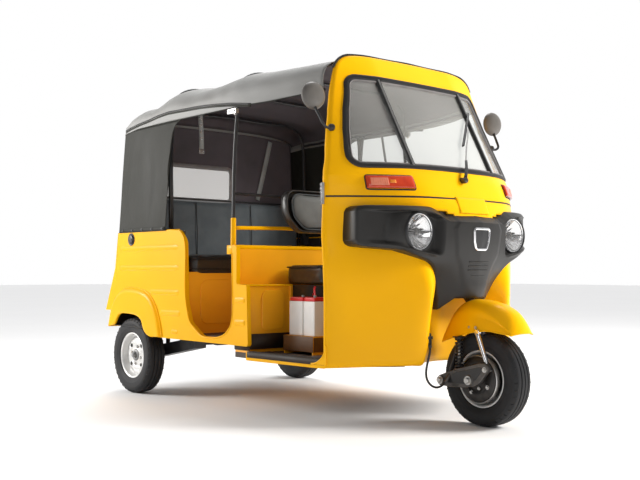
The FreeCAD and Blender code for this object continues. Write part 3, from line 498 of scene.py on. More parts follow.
CAST = mat("cast_aluminium", (0.30, 0.30, 0.30), (0.20, 0.20, 0.20), rough=(0.45, 0.6), scale=24.0, metal=0.8, bumps=((300.0, 0.25, 0.0005),))
DRUM = mat("brake_plate_dark", (0.055, 0.052, 0.050), (0.030, 0.028, 0.027), rough=(0.35, 0.5), scale=22.0, metal=0.6, bumps=((240.0, 0.2, 0.0005),))
TYRE = mat("tyre_rubber", (0.024, 0.024, 0.026), (0.014, 0.014, 0.015), rough=(0.55, 0.72), scale=11.0, bumps=((420.0, 0.18, 0.0004), (60.0, 0.08, 0.0008)), spec=0.35)
RIM = mat("rim_silver_paint", (0.74, 0.74, 0.73), (0.64, 0.64, 0.63), rough=(0.30, 0.42), scale=18.0, metal=0.35, coat=0.3, bumps=((260.0, 0.06, 0.0003),))
WHITE = mat("battery_case", (0.80, 0.79, 0.77), (0.74, 0.73, 0.70), rough=(0.35, 0.5), scale=8.0, bumps=((500.0, 0.08, 0.0003),))
RED = mat("battery_cap_red", (0.62, 0.015, 0.02), (0.50, 0.010, 0.015), rough=(0.3, 0.42), scale=16.0, bumps=((500.0, 0.06, 0.0003),))
FLOOR = mat("floor_mat_dark", (0.075, 0.045, 0.028), (0.040, 0.026, 0.018), rough=(0.55, 0.75), scale=9.0, bumps=((160.0, 0.25, 0.0008),))
PLATE = mat("blank_plate", (0.82, 0.82, 0.80), (0.78, 0.78, 0.76), rough=(0.35, 0.45), scale=12.0, bumps=((300.0, 0.04, 0.0003),))
VBLACK = mat("seat_vinyl_black", (0.026, 0.024, 0.022), (0.017, 0.015, 0.014), rough=(0.30, 0.42), scale=18.0, bumps=((60.0, 0.08, 0.001),), voronoi=(520.0, 0.14, 0.0003), spec=0.6)
VGREY = mat("seat_vinyl_grey", (0.27, 0.28, 0.275), (0.22, 0.23, 0.225), rough=(0.38, 0.48), scale=14.0, bumps=((60.0, 0.06, 0.001),), voronoi=(520.0, 0.12, 0.0003))
VDRIVER = mat("seat_vinyl_driver", (0.112, 0.116, 0.114), (0.090, 0.094, 0.092), rough=(0.40, 0.50), scale=14.0, bumps=((60.0, 0.06, 0.001),), voronoi=(520.0, 0.12, 0.0003))
VBLUE = mat("seat_vinyl_bluegrey", (0.070, 0.080, 0.086), (0.052, 0.060, 0.066), rough=(0.36, 0.46), scale=10.0, bumps=((50.0, 0.08, 0.001),), voronoi=(520.0, 0.12, 0.0003))
CAN_ROOF = mat("hood_cloth_roof", (0.27, 0.27, 0.262), (0.21, 0.207, 0.196), rough=(0.46, 0.60), scale=3.2, bumps=((9.0, 0.25, 0.006), (34.0, 0.16, 0.002)), voronoi=(620.0, 0.18, 0.0004), sheen=0.12, stretch=(1.0, 0.5, 1.0))
CAN_SIDE = mat("hood_cloth_side", (0.030, 0.030, 0.025), (0.022, 0.022, 0.018), rough=(0.48, 0.62), scale=3.0, bumps=((7.0, 0.2, 0.006), (30.0, 0.12, 0.002)), voronoi=(620.0, 0.18, 0.0004), spec=0.14)
LINING = mat("hood_lining", (0.078, 0.066, 0.074), (0.056, 0.048, 0.054), rough=(0.7, 0.85), scale=5.0, bumps=((12.0, 0.2, 0.004), (500.0, 0.2, 0.0004)))
PIPING = mat("piping_dark", (0.014, 0.014, 0.014), (0.009, 0.009, 0.009), rough=(0.45, 0.55), scale=30.0, bumps=((300.0, 0.1, 0.0003),))
MIRROR = mat("mirror_glass", (0.80, 0.82, 0.84), (0.78, 0.80, 0.82), rough=(0.02, 0.04), scale=5.0, metal=1.0, bumps=((20.0, 0.005, 0.0002),))
MIRBACK = mat("mirror_back", (0.115, 0.105, 0.095), (0.085, 0.078, 0.070), rough=(0.36, 0.46), scale=12.0, bumps=((900.0, 0.1, 0.0002),))
HANDRED = mat("lever_grip", (0.03, 0.03, 0.03), (0.02, 0.02, 0.02), rough=(0.5, 0.6), scale=30.0, bumps=((260.0, 0.3, 0.0006),))


def lens_mat(name, c1, c2, alpha_like=0.35, rough=0.08, ribs=0.0):
    """Coloured plastic lens, partly see-through, with optional moulded ribs."""
    m, nt, b, tc = base_mat(name)
    n = noise(nt, tc, 30.0, 2.0)
    cr = ramp(nt, n.outputs[0], [(0.3, c2), (0.7, c1)])
    nt.links.new(cr.outputs[0], b.inputs["Base Color"])
    b.inputs["Roughness"].default_value = rough
    b.inputs["Coat Weight"].default_value = 0.6
    b.inputs["Coat Roughness"].default_value = 0.04
    b.inputs["Transmission Weight"].default_value = alpha_like
    if ribs:
        w = nt.nodes.new("ShaderNodeTexWave")
        w.inputs["Scale"].default_value = ribs
        w.bands_direction = "X"
        nt.links.new(tc.outputs["Object"], w.inputs["Vector"])
        bu = nt.nodes.new("ShaderNodeBump")
        bu.inputs["Strength"].default_value = 0.35
        bu.inputs["Distance"].default_value = 0.0006
        nt.links.new(w.outputs[0], bu.inputs["Height"])
        nt.links.new(bu.outputs[0], b.inputs["Normal"])
    return m


SIG_RED = lens_mat("signal_red_orange", (0.66, 0.055, 0.012), (0.52, 0.035, 0.008), 0.10, 0.10, 60.0)
# painted highlight: the pale pink of this lens is partly a highlight painted into its colour
SIG_PALE_AND_HIGHLIGHT = lens_mat("signal_pale_and_painted_highlight", (0.80, 0.26, 0.16), (0.72, 0.20, 0.11), 0.15, 0.12, 60.0)
TAIL_RED = lens_mat("tail_red", (0.55, 0.012, 0.010), (0.42, 0.008, 0.008), 0.10, 0.10, 50.0)
TAIL_AMBER = lens_mat("tail_amber", (0.85, 0.25, 0.02), (0.70, 0.18, 0.01), 0.10, 0.10, 50.0)


def glass_mat(name, tint, haze, haze_col, rough=0.02, mixfac=0.10):
    """Thin glass: see-through, with a mirror reflection and a slight milky film."""
    m = bpy.data.materials.new(name)
    m.use_nodes = True
    nt = m.node_tree
    nt.nodes.clear()
    out = nt.nodes.new("ShaderNodeOutputMaterial")
    tr = nt.nodes.new("ShaderNodeBsdfTransparent")
    tr.inputs[0].default_value = tint + (1,)
    gl = nt.nodes.new("ShaderNodeBsdfGlossy")
    gl.inputs["Roughness"].default_value = rough
    gl.inputs[0].default_value = (1, 1, 1, 1)
    df = nt.nodes.new("ShaderNodeBsdfDiffuse")
    tc = nt.nodes.new("ShaderNodeTexCoord")
    n = noise(nt, tc, 2.5, 3.0)
    cr = ramp(nt, n.outputs[0], [(0.3, tuple(c * 0.9 for c in haze_col)), (0.7, haze_col)])
    nt.links.new(cr.outputs[0], df.inputs[0])
    hz = ramp(nt, n.outputs[0], [(0.25, haze * 0.85), (0.75, haze * 1.1)])
    mx = nt.nodes.new("ShaderNodeMixShader")
    nt.links.new(hz.outputs[0], mx.inputs[0])
    nt.links.new(tr.outputs[0], mx.inputs[1])
    nt.links.new(df.outputs[0], mx.inputs[2])
    lw = nt.nodes.new("ShaderNodeLayerWeight")
    lw.inputs[0].default_value = 0.5
    fr = ramp(nt, lw.outputs["Facing"], [(0.0, (0.03, 0.03, 0.03)), (0.6, (0.05, 0.05, 0.05)), (0.86, (0.22, 0.22, 0.22)), (1.0, (1.0, 1.0, 1.0))])
    m2 = nt.nodes.new("ShaderNodeMixShader")
    nt.links.new(fr.outputs[0], m2.inputs[0])
    nt.links.new(mx.outputs[0], m2.inputs[1])
    nt.links.new(gl.outputs[0], m2.inputs[2])
    nt.links.new(m2.outputs[0], out.inputs[0])
    return m


SCREEN_GLASS = glass_mat("screen_glass", (0.93, 0.94, 0.93), 0.20, (0.60, 0.59, 0.56))
CLEAR_LENS = glass_mat("clear_lens", (0.98, 0.98, 0.98), 0.03, (0.9, 0.9, 0.9))
WINDOW = glass_mat("soft_window", (0.80, 0.79, 0.78), 0.12, (0.6, 0.6, 0.6), rough=0.15)

# =====================================================================================================
# camera, light, floor
# =====================================================================================================
def set_camera():
    az, pitch, roll = math.radians(40.805), math.radians(1.897), math.radians(0.116)
    d = np.array([math.sin(az) * math.cos(pitch), math.cos(az) * math.cos(pitch), math.sin(pitch)])
    right = np.array([math.cos(az), -math.sin(az), 0.0])
    up = np.cross(right, d)
    r2 = math.cos(roll) * right + math.sin(roll) * up
    u2 = -math.sin(roll) * right + math.cos(roll) * up
    cd = bpy.data.cameras.new("camera")
    cd.sensor_width = 36.0
    cd.sensor_fit = "HORIZONTAL"
    cd.lens = 948.327 * 36.0 / 640.0
    cd.clip_end = 200.0
    co = link(bpy.data.objects.new("camera", cd))
    M = Matrix.Identity(4)
    for i in range(3):
        M[i][0], M[i][1], M[i][2] = r2[i], u2[i], -d[i]
    M[0][3], M[1][3], M[2][3] = P((-3280.454, -2679.492, 673.627))
    co.matrix_world = M
    bpy.context.scene.camera = co


def area(name, loc, target, size, power, color=(1, 1, 1), sy=None):
    ld = bpy.data.lights.new(name, "AREA")
    ld.energy = power
    ld.color = color
    ld.shape = "RECTANGLE"
    ld.size = size
    ld.size_y = sy or size
    o = link(bpy.data.objects.new(name, ld))
    o.location = loc
    o.rotation_euler = (Vector(target) - Vector(loc)).to_track_quat("-Z", "Y").to_euler()
    return o


def set_light():
    w = bpy.data.worlds.new("studio")
    bpy.context.scene.world = w
    w.use_nodes = True
    nt = w.node_tree
    bg = nt.nodes["Background"]
    # a room that is brighter behind the vehicle than in front of it
    tc = nt.nodes.new("ShaderNodeTexCoord")
    dp = nt.nodes.new("ShaderNodeVectorMath")
    dp.operation = "DOT_PRODUCT"
    dp.inputs[1].default_value = (0.653, 0.757, 0.0)
    nt.links.new(tc.outputs["Generated"], dp.inputs[0])
    mr = nt.nodes.new("ShaderNodeMapRange")
    mr.inputs["From Min"].default_value = -1.0
    mr.inputs["From Max"].default_value = 1.0
    nt.links.new(dp.outputs["Value"], mr.inputs["Value"])
    wr = ramp(nt, mr.outputs["Result"], [(0.0, (0.16, 0.16, 0.165)), (0.50, (0.40, 0.40, 0.40)), (0.78, (1.0, 1.0, 1.0)), (1.0, (1.0, 1.0, 1.0))])
    nt.links.new(wr.outputs[0], bg.inputs[0])
    bg.inputs[1].default_value = 1.0
    key = area("key", (4.2, -4.8, 3.6), (0, -1.0, 0.9), 2.6, 700, (1.0, 0.985, 0.95))
    key.visible_glossy = False
    area("fill", (-4.3, -4.7, 2.3), (-0.4, -0.4, 0.7), 1.8, 24, (1.0, 0.99, 0.97))
    cab = area("cab", (0.22, -0.60, 1.40), (0.08, 0.30, 0.80), 0.4, 5.5, (1.0, 0.98, 0.95))
    cab.visible_camera = False
    cab.visible_glossy = False
    area("side", (-2.7, 2.7, 1.7), (-0.64, 0.85, 0.6), 1.3, 100, (1.0, 0.98, 0.95))
    sun = bpy.data.lights.new("sky", "SUN")
    sun.energy = 1.35
    sun.angle = math.radians(24)
    so = link(bpy.data.objects.new("sky", sun))
    so.rotation_euler = Vector((0.35, 0.45, 1.0)).to_track_quat("Z", "Y").to_euler()
    fm, nt, b, tc = base_mat("studio_floor")
    n = noise(nt, tc, 0.6, 2.0)
    cr = ramp(nt, n.outputs[0], [(0.3, (0.855, 0.855, 0.86)), (0.7, (0.87, 0.87, 0.875))])
    nt.links.new(cr.outputs[0], b.inputs["Base Color"])
    b.inputs["Roughness"].default_value = 0.9
    me = bpy.data.meshes.new("studio_floor")
    s = 40.0
    me.from_pydata([(-s, -s, 0), (s, -s, 0), (s, s, 0), (-s, s, 0)], [], [(0, 1, 2, 3)])
    me.materials.append(fm)
    fo = link(bpy.data.objects.new("studio_floor", me))
    bpy.context.scene.view_settings.view_transform = "Standard"
    bpy.context.scene.view_settings.exposure = 0.0


set_camera()
set_light()

# =====================================================================================================
# brake hose: from the gland on the apron to the boss on the link arm
# =====================================================================================================
HOSE = [(-249, 108, 364), (-252, 102, 330), (-252, 118, 284), (-248, 132, 242), (-237, 138, 207), (-214, 136, 180), (-184, 130, 167),
        (-157, 123, 174), (-141, 118, 189), (-130, 114, 206)]


def route(points, res=14):
    """Points read from the NURBS spline of a route."""
    cu = bpy.data.curves.new("route", "CURVE")
    cu.dimensions = "3D"
    sp = cu.splines.new("NURBS")
    sp.points.add(len(points) - 1)
    for q, p in zip(sp.points, points):
        q.co = P(p) + (1.0,)
    sp.order_u = 3
    sp.use_endpoint_u = True
    sp.resolution_u = res
    o = bpy.data.objects.new("route", cu)
    me = bpy.data.meshes.new_from_object(o)
    pts = np.array([v.co[:] for v in me.vertices])
    bpy.data.objects.remove(o)
    bpy.data.curves.remove(cu)
    bpy.data.meshes.remove(me)
    return pts


hp = route(HOSE)
hmm = hp * 1000.0
hmm[:, 1] -= FA
hose = tube("brake_hose_tube", hmm, 5.0, RUBBER, segs=14, ride=False, slot="hose", replaces=("brake_hose",))
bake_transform(hose)
# crimped ends
tubes("brake_hose_ferrule_top", [([HOSE[0], np.array(HOSE[0]) + (np.array(HOSE[1]) - HOSE[0]) * 0.5], 7.5)], BLACKP, segs=16, slot="dark_plastic")
tubes("brake_hose_ferrule_low", [([np.array(HOSE[-1]) + (np.array(HOSE[-2]) - HOSE[-1]) * 0.75, np.array(HOSE[-1]) + (np.array(HOSE[-1]) - HOSE[-2]) * 0.3], 7.0)], STEEL, segs=12, body="steering", slot="bare_steel")

# =====================================================================================================
# shared surfaces of the front
# =====================================================================================================
SEAM = 995.0


def lerp_table(z, pairs):
    return np.interp(z, [p[0] for p in pairs], [p[1] for p in pairs])


COWL_HALF = [(941, 625), (995, 624), (1040, 624), (1090, 621), (1138, 605), (1210, 585), (1300, 558), (1390, 530), (1480, 505), (1520, 492), (1552, 486), (1720, 486)]
SWEEP = [(941, 51), (995, 19), (1040, -7), (1090, -26), (1138, -24), (1210, 7), (1300, 38), (1390, 56), (1480, 59), (1552, 56), (1600, 50), (1690, 40)]


def cowl_y(x, z):
    x = np.abs(np.asarray(x, float))
    z = np.asarray(z, float)
    t = (z - 1138) / 414.0
    s = (z - 941) / 197.0
    q = 155 + 32 * (x / 269) ** 2.55
    y = np.where(z >= 1138, (1 - t) * q + t * (398 + 8 * (x / 272) ** 2), (1 - s) * (64 + 43 * (x / 269) ** 2.1) + s * q)
    y = y - np.where((s > 0) & (s < 1), 20 * 4 * s * (1 - s) * np.exp(-((x - 300) / 130.0) ** 2), 0)
    a = lerp_table(z, SWEEP)
    w = np.clip((x - 250) / (lerp_table(z, COWL_HALF) - 250), 0, None)
    return y + a * w ** 1.4


def cowl_n(x, z, e=2.0):
    dx = (cowl_y(x + e, z) - cowl_y(x - e, z)) / (2 * e)
    dz = (cowl_y(x, z + e) - cowl_y(x, z - e)) / (2 * e)
    n = np.stack([dx, -np.ones_like(dx), dz], -1)
    return n / np.linalg.norm(n, axis=-1)[..., None]


APRON = {
    256: [(0, 268), (80, 256), (150, 234), (205, 202), (240, 166), (266, 134), (302, 138), (345, 160), (425, 216), (515, 284), (596, 352), (612, 368)],
    330: [(0, 266), (80, 254), (150, 230), (205, 196), (240, 150), (263, 112), (302, 120), (345, 148), (425, 209), (515, 278), (598, 350), (615, 367)],
    450: [(0, 262), (80, 248), (150, 222), (202, 186), (236, 136), (260, 96), (302, 110), (345, 142), (425, 205), (515, 275), (600, 348), (616, 366)],
    600: [(0, 238), (70, 218), (130, 186), (180, 142), (226, 100), (261, 86), (302, 108), (345, 141), (425, 203), (515, 272), (604, 343), (622, 360)],
    720: [(0, 142), (70, 138), (130, 130), (180, 120), (230, 108), (272, 104), (308, 118), (345, 143), (425, 203), (515, 272), (608, 343), (628, 360)],
    830: [(0, 82), (80, 84), (150, 90), (210, 98), (265, 110), (315, 128), (370, 165), (440, 220), (520, 282), (610, 352), (629, 368)],
}
for _z in (941, SEAM):
    _h = float(lerp_table(_z, COWL_HALF))
    APRON[_z] = [(_h * k, float(cowl_y(_h * k, _z))) for k in (0, 0.125, 0.25, 0.34, 0.43, 0.52, 0.61, 0.71, 0.82, 0.92, 1.0)]


def full(half):
    return [(-x, y) for x, y in reversed(half) if x > 0] + list(half)


class Shell:
    def __init__(self, levels, nu):
        self.z = np.array(sorted(levels), float)
        self.nu = nu
        C = []
        for z in sorted(levels):
            f = np.array(full(levels[z]), float)
            t = chord(f)
            C.append(csp(t / t[-1], f, np.linspace(0, 1, nu)))
        self.C = np.array(C)

    def at(self, Z):
        """Z is (rows, columns): the height asked for in each column."""
        out = np.zeros(Z.shape + (3,))
        for i in range(self.nu):
            q = csp(self.z, self.C[:, i, :], Z[:, i])
            out[:, i, 0:2] = q
        out[:, :, 2] = Z
        return out


def roll(d, r):
    """How far a surface falls back at distance d from its edge, for an edge rounded by r."""
    d = np.clip(d, 0, r)
    return r - np.sqrt(np.maximum(r * r - (r - d) ** 2, 0))


def edge_rows(L, a, b, n):
    """Distances from 0 to L, close together near both ends."""
    lo = a * np.array([0, 0.06, 0.2, 0.45, 0.75, 1.0])
    hi = L - b * np.array([1.0, 0.75, 0.45, 0.2, 0.06, 0])
    return np.concatenate([lo, np.linspace(a, L - b, n + 2)[1:-1], hi])


# ---------------------------------------------------------------- apron
AP_N = 241
ap = Shell(APRON, AP_N)
xcol = np.abs(ap.C[1, :, 0])
zbot = np.interp(xcol, [0, 230, 300, 420, 640], [262, 262, 268, 266, 258])
rows = edge_rows(1.0, 0.05, 0.03, 56)
Z = zbot[None, :] + rows[:, None] * (SEAM - zbot)[None, :]
G = ap.at(Z)
dz0 = Z - zbot[None, :]
nx = np.sign(G[:, :, 0])
G[:, :, 1] += roll(dz0, 26.0) * 0.9 + roll(SEAM - Z, 5.0)
xe = np.abs(G[:, :, 0])
half = np.interp(Z, ap.z, [max(abs(c[0]) for c in APRON[int(z)]) for z in ap.z])
G[:, :, 1] += roll(half - xe, 16.0) * 0.8
AP_GRID = G
M_TOP = [(0, 926), (94, 926), (104, 929), (150, 949), (165, 952), (253, 954), (530, 954), (548, 951), (560, 943), (566, 928)]
M_BOT = [(0, 556), (98, 556), (104, 550), (140, 505), (146, 506), (163, 554), (191, 614), (228, 679), (250, 700), (281, 719), (400, 764), (530, 778), (548, 781), (560, 790), (566, 806)]
V, F = G.reshape(-1, 3), []
cx, cz = np.abs(V[:, 0]), V[:, 2]
hid = (cx < 552) & (cz < np.interp(cx, *zip(*M_TOP)) - 14) & (cz > np.interp(cx, *zip(*M_BOT)) + 14)
for f in grid_faces(*G.shape[:2]):
    if not hid[list(f)].all():
        F.append(f)
apron = obj("front_apron_panel", V, F, YELLOW, slot="body_yellow", replaces=("front_apron",))
m_ = apron.modifiers.new("wall", "SOLIDIFY")
m_.thickness = 0.016
m_.offset = -1


def apron_y(x, z):
    """Height field of the apron (where it is one)."""
    x = np.atleast_1d(np.abs(np.asarray(x, float)))
    z = np.atleast_1d(np.asarray(z, float))
    h = AP_N // 2
    out = np.zeros(x.shape)
    for k in range(x.size):
        C = csp(ap.z, ap.C[:, h:, :].reshape(len(ap.z), -1), np.array([z.flat[k]])).reshape(-1, 2)
        out.flat[k] = np.interp(x.flat[k], C[:, 0], C[:, 1])
    return out


# ---------------------------------------------------------------- cowl and windscreen frame
SCREEN = [(-524, 1136), (524, 1136), (512, 1210), (490, 1300), (464, 1390), (435, 1480), (421, 1548), (-421, 1548), (-435, 1480), (-464, 1390), (-490, 1300), (-512, 1210)]
SCREEN_R = [38, 38, 300, 300, 300, 150, 50, 50, 150, 300, 300, 300]
HOOP_HALF = [(624, 995), (623, 1040), (619, 1090), (603, 1138), (583, 1210), (556, 1300), (528, 1390), (503, 1480), (489, 1520), (479, 1550),
             (468, 1582), (456, 1608), (440, 1629), (416, 1645), (372, 1658), (280, 1666), (140, 1669)]
HOOP = [(-x, z) for x, z in HOOP_HALF] + [(0, 1670)] + [(x, z) for x, z in reversed(HOOP_HALF)]
inner = outline(SCREEN, SCREEN_R, 14)
hoop = np.array(HOOP, float)
outer = through(hoop, 400)
outer = np.vstack([outer, outer[:1]])
CEN = np.array([0.0, 1345.0])


def ray(poly, c, ang):
    p, q = poly[:-1] - c, poly[1:] - c
    e = q - p
    out = np.zeros(len(ang))
    for i, a in enumerate(ang):
        d = np.array([math.cos(a), math.sin(a)])
        den = e[:, 0] * d[1] - e[:, 1] * d[0]
        ok = np.abs(den) > 1e-9
        s = np.where(ok, -(p[:, 0] * d[1] - p[:, 1] * d[0]) / np.where(ok, den, 1), -1)
        t = np.where(ok, (p[:, 0] * e[:, 1] - p[:, 1] * e[:, 0]) / np.where(ok, -(e[:, 0] * d[1] - e[:, 1] * d[0]), 1), -1)
        g = ok & (s >= -1e-9) & (s <= 1 + 1e-9) & (t > 0)
        out[i] = t[g].max() if g.any() else 0
    return out


def poly_angles(poly, n):
    q = resample(poly, n, True)
    q = np.vstack([q, poly[:-1]])
    return np.arctan2(q[:, 1] - CEN[1], q[:, 0] - CEN[0])


ang = np.concatenate([poly_angles(inner, 220), poly_angles(outer, 240)])
ang = np.sort(ang)
keep = [ang[0]]
for a in ang[1:]:
    if a - keep[-1] > 0.0035:
        keep.append(a)
corner = [math.atan2(995 - CEN[1], -624), math.atan2(995 - CEN[1], 624)]
for c in corner:
    k = int(np.argmin([abs(a - c) for a in keep]))
    keep[k] = c
ang = np.array(keep)
ri, ro = ray(inner, CEN, ang), ray(outer, CEN, ang)
D = np.stack([np.cos(ang), np.sin(ang)], 1)
rowsG = []
L = ro - ri
NB = 16
for j in range(6 + NB + 6):
    if j < 6:
        d = 12.0 * [0, 0.06, 0.2, 0.45, 0.75, 1.0][j] * np.ones_like(L)
    elif j < 6 + NB:
        f = (j - 5) / (NB + 1.0)
        d = 12.0 + f * (L - 12.0 - 16.0)
    else:
        d = L - 16.0 * [1.0, 0.75, 0.45, 0.2, 0.06, 0][j - 6 - NB]
    pt = CEN + D * (ri + d)[:, None]
    x, z = pt[:, 0], pt[:, 1]
    seam = smooth01((z - 1002) / 20.0)
    y = cowl_y(x, z) + roll(d, 7.0) + roll(L - d, 15.0) * (0.25 + 0.75 * seam)
    rowsG.append(np.stack([x, y, z], 1))
G = np.array(rowsG)
upper = grid("windscreen_frame_panel", G, YELLOW, thick=22.0, cu=True, flip=True, slot="body_yellow", replaces=("windscreen_frame",))


def on_cowl(q, lift=0.0):
    q = np.asarray(q, float)
    y = cowl_y(q[:, 0], q[:, 1])
    p = np.stack([q[:, 0], y, q[:, 1]], 1)
    n = cowl_n(q[:, 0], q[:, 1])
    return p + n * lift, n


def wide(poly, d):
    """Outline moved outwards by d (closed polyline, counter-clockwise)."""
    p = poly[:-1]
    t = np.roll(p, -1, 0) - np.roll(p, 1, 0)
    t /= np.linalg.norm(t, axis=1)[:, None]
    n = np.stack([t[:, 1], -t[:, 0]], 1)
    return p + n * d


ring = resample(inner, 320, True)
ringc = np.vstack([ring, ring[:1]])
q = wide(ringc, 5.0)
p, n = on_cowl(q)
strip("windscreen_seal", p, n, half_round(25, 7.5, 9, 7), RUBBER, closed=True, slot="dark_plastic")
q = wide(ringc, -9.5)
p, n = on_cowl(q)
strip("windscreen_seal_lip", p - n * 3, n, half_round(8, 5.0, 5, 5), LIPGREY, closed=True, slot="dark_plastic")
for s, nm in ((-1, "right"), (1, "left")):
    zz = np.linspace(1134, 1546, 40)
    q = np.stack([s * np.interp(zz, [1138, 1552], [269, 272]), zz], 1)
    p, n = on_cowl(q)
    strip("windscreen_divider_" + nm, p, n, flat_bar(23, 4.5, 1.5, 12), RUBBER, slot="dark_plastic")
    strip("windscreen_divider_trim_" + nm, p + n * 4.0 + np.array([1.5, 0, 0]), n, half_round(9, 3.0, 6, 1), STEEL, slot="bare_steel")

# seam between cowl and apron, and the flap in the middle
for s, nm in ((-1, "right"), (1, "left")):
    xx = np.linspace(622, 101, 80) * s
    q = np.stack([xx, np.full_like(xx, SEAM)], 1)
    p, n = on_cowl(q, -1.0)
    strip("seam_bead_" + nm, p, n, half_round(8.5, 2.6, 6, 4), RUBBER, slot="dark_plastic")
xs = 98 * np.array([-1, -0.985, -0.96, -0.92, -0.8, -0.6, -0.4, -0.2, 0, 0.2, 0.4, 0.6, 0.8, 0.92, 0.96, 0.985, 1])
zs = np.array([930, 931, 933, 937, 943, 952, 962, 972, 982, 991, 999, 1005])
X, Zf = np.meshgrid(xs, zs)
Yf = 54 + (Zf - 932) * 30 / 68 + (cowl_y(X, Zf) - cowl_y(0 * X, Zf))
Yf += roll(98 - np.abs(X), 6.0) * 1.3 + roll(Zf - 930, 8.0)
Yf = np.where(Zf > 1000, cowl_y(X, Zf) + 2, Yf)
G = np.stack([X, Yf, Zf], 2)
edgeL, edgeR, edgeB = G[:, :1].copy(), G[:, -1:].copy(), G[:1].copy()
for e in (edgeL, edgeR):
    e[:, :, 1] += 24
G = np.concatenate([edgeL, G, edgeR], 1)
eb = G[:1].copy()
eb[:, :, 1] += 22
G = np.concatenate([eb, G], 0)
grid("cowl_flap", G, YELLOW, slot="body_yellow")
p = np.array([(x, 0, 1001.0) for x in np.linspace(-100, 100, 20)])
p[:, 1] = cowl_y(p[:, 0], p[:, 2])
strip("cowl_flap_top_seam", p, cowl_n(p[:, 0], p[:, 2]), half_round(4.0, 1.2, 5, 3), PIPING, slot="dark_plastic")

# ---------------------------------------------------------------- mask
MASK_L = {
    500: [(0, 112), (50, 116), (100, 132), (140, 156), (160, 170)],
    560: [(0, 62), (50, 68), (105, 96), (150, 128), (180, 146)],
    620: [(0, 54), (58, 60), (118, 82), (172, 110), (212, 128)],
    700: [(0, 44), (80, 52), (150, 66), (215, 81), (280, 90)],
    781: [(0, 32), (120, 44), (240, 64), (400, 108), (570, 238)],
    850: [(0, 26), (120, 38), (240, 60), (400, 106), (570, 234)],
    955: [(0, 26), (120, 38), (240, 58), (400, 108), (570, 236)],
}
MX = np.array([0, 50, 100, 150, 200, 280, 400, 570], float)
MZ = np.array(sorted(MASK_L), float)
ref = np.array(MASK_L[781], float)
ref_y = csp(ref[:, 0], ref[:, 1], MX)
tab = []
for z in sorted(MASK_L):
    c = np.array(MASK_L[z], float)
    y = csp(c[:, 0], c[:, 1], np.minimum(MX, c[-1, 0]))
    if c[-1, 0] < 560:
        d = c[-1, 1] - csp(ref[:, 0], ref[:, 1], np.array([c[-1, 0]]))[0]
        y = np.where(MX > c[-1, 0], ref_y + d, y)
    tab.append(y)
tab = np.array(tab)


def mask_y(x, z):
    x, z = np.abs(np.asarray(x, float)), np.asarray(z, float)
    shp = x.shape
    Y = csp(MZ, tab, z.ravel())
    n = len(MX)
    h = np.diff(MX)
    A = np.zeros((n, n))
    A[0, 0] = A[-1, -1] = 1
    B = np.zeros((n, Y.shape[0]))
    for i in range(1, n - 1):
        A[i, i - 1], A[i, i], A[i, i + 1] = h[i - 1], 2 * (h[i - 1] + h[i]), h[i]
        B[i] = 6 * ((Y[:, i + 1] - Y[:, i]) / h[i] - (Y[:, i] - Y[:, i - 1]) / h[i - 1])
    M = np.linalg.solve(A, B)
    q = np.clip(x.ravel(), 0, 570)
    k = np.clip(np.searchsorted(MX, q, side="right") - 1, 0, n - 2)
    r = np.arange(len(q))
    a, b, H = q - MX[k], MX[k + 1] - q, h[k]
    out = (M[k, r] * b ** 3 + M[k + 1, r] * a ** 3) / (6 * H) + (Y[r, k] / H - M[k, r] * H / 6) * b + (Y[r, k + 1] / H - M[k + 1, r] * H / 6) * a
    return out.reshape(shp)


M_BROW = [(0, 888), (150, 887), (176, 887), (204, 898), (230, 912), (262, 923), (300, 929), (338, 932), (440, 935), (540, 937), (566, 924)]
M_LIP = [(0, 743), (232, 743), (280, 750), (331, 759), (380, 770), (433, 783), (540, 794), (566, 812)]
mxs = np.unique(np.concatenate([np.linspace(0, 90, 14), np.linspace(90, 300, 54), np.linspace(300, 500, 34), np.linspace(500, 540, 9),
                                [545, 549, 553, 556.5, 559.5, 562, 564, 565.3, 566]]))
mxs = np.concatenate([-mxs[::-1], mxs[1:]])
ax_ = np.abs(mxs)
zt = np.interp(ax_, *zip(*M_TOP))
zb_ = np.interp(ax_, *zip(*M_BOT))
zbrow = np.minimum(np.interp(ax_, *zip(*M_BROW)), zt - 6)
zlip = np.maximum(np.interp(ax_, *zip(*M_LIP)), zb_ + 4)
f1 = np.concatenate([[0, 0.015, 0.04, 0.08], np.linspace(0.13, 1, 18)])
f2 = np.concatenate([np.linspace(0, 0.86, 34)[1:], [0.89, 0.915, 0.935, 0.95, 0.965, 0.978, 0.99, 1.0]])
f3 = np.array([0.04, 0.1, 0.2, 0.35, 0.5, 0.65, 0.8, 0.9, 0.96, 1.0])
Zm = np.vstack([zb_ + f * (zlip - zb_) for f in f1] + [zlip + f * (zbrow - zlip) for f in f2] + [zbrow + f * (zt - zbrow) for f in f3])
Xm = np.broadcast_to(mxs, Zm.shape).copy()
aX = np.abs(Xm)
Ym = mask_y(Xm, Zm)
brow, lip = zbrow[None, :], zlip[None, :]
led = np.clip(Zm - brow, 0, None)
Ym += np.interp(aX, [0, 120, 300, 566], [1.25, 1.25, 1.3, 0.5]) * np.maximum(led - 1.5, 0) * smooth01(led / 4.0)
depth = 44.0 * smooth01((brow - Zm) / 10.0) * smooth01((Zm - lip) / np.interp(aX, [220, 300, 420, 560], [34, 30, 20, 16])) * smooth01((aX - 204) / 46.0) * smooth01((556 - aX) / 200.0)
rl = np.hypot(aX - 318, Zm - 845)
near = smooth01((150 - rl) / 66.0) * smooth01((brow - Zm) / 10.0) * smooth01((Zm - lip) / 12.0) * smooth01((aX - 206) / 28.0)
Ym += np.where(Zm <= brow, depth, 0)
Ym = Ym * (1 - near) + near * 103.0
Ym -= 5.0 * np.exp(-((Zm - lip) / 7.0) ** 2) * smooth01((aX - 225) / 40.0) * smooth01((540 - aX) / 60)
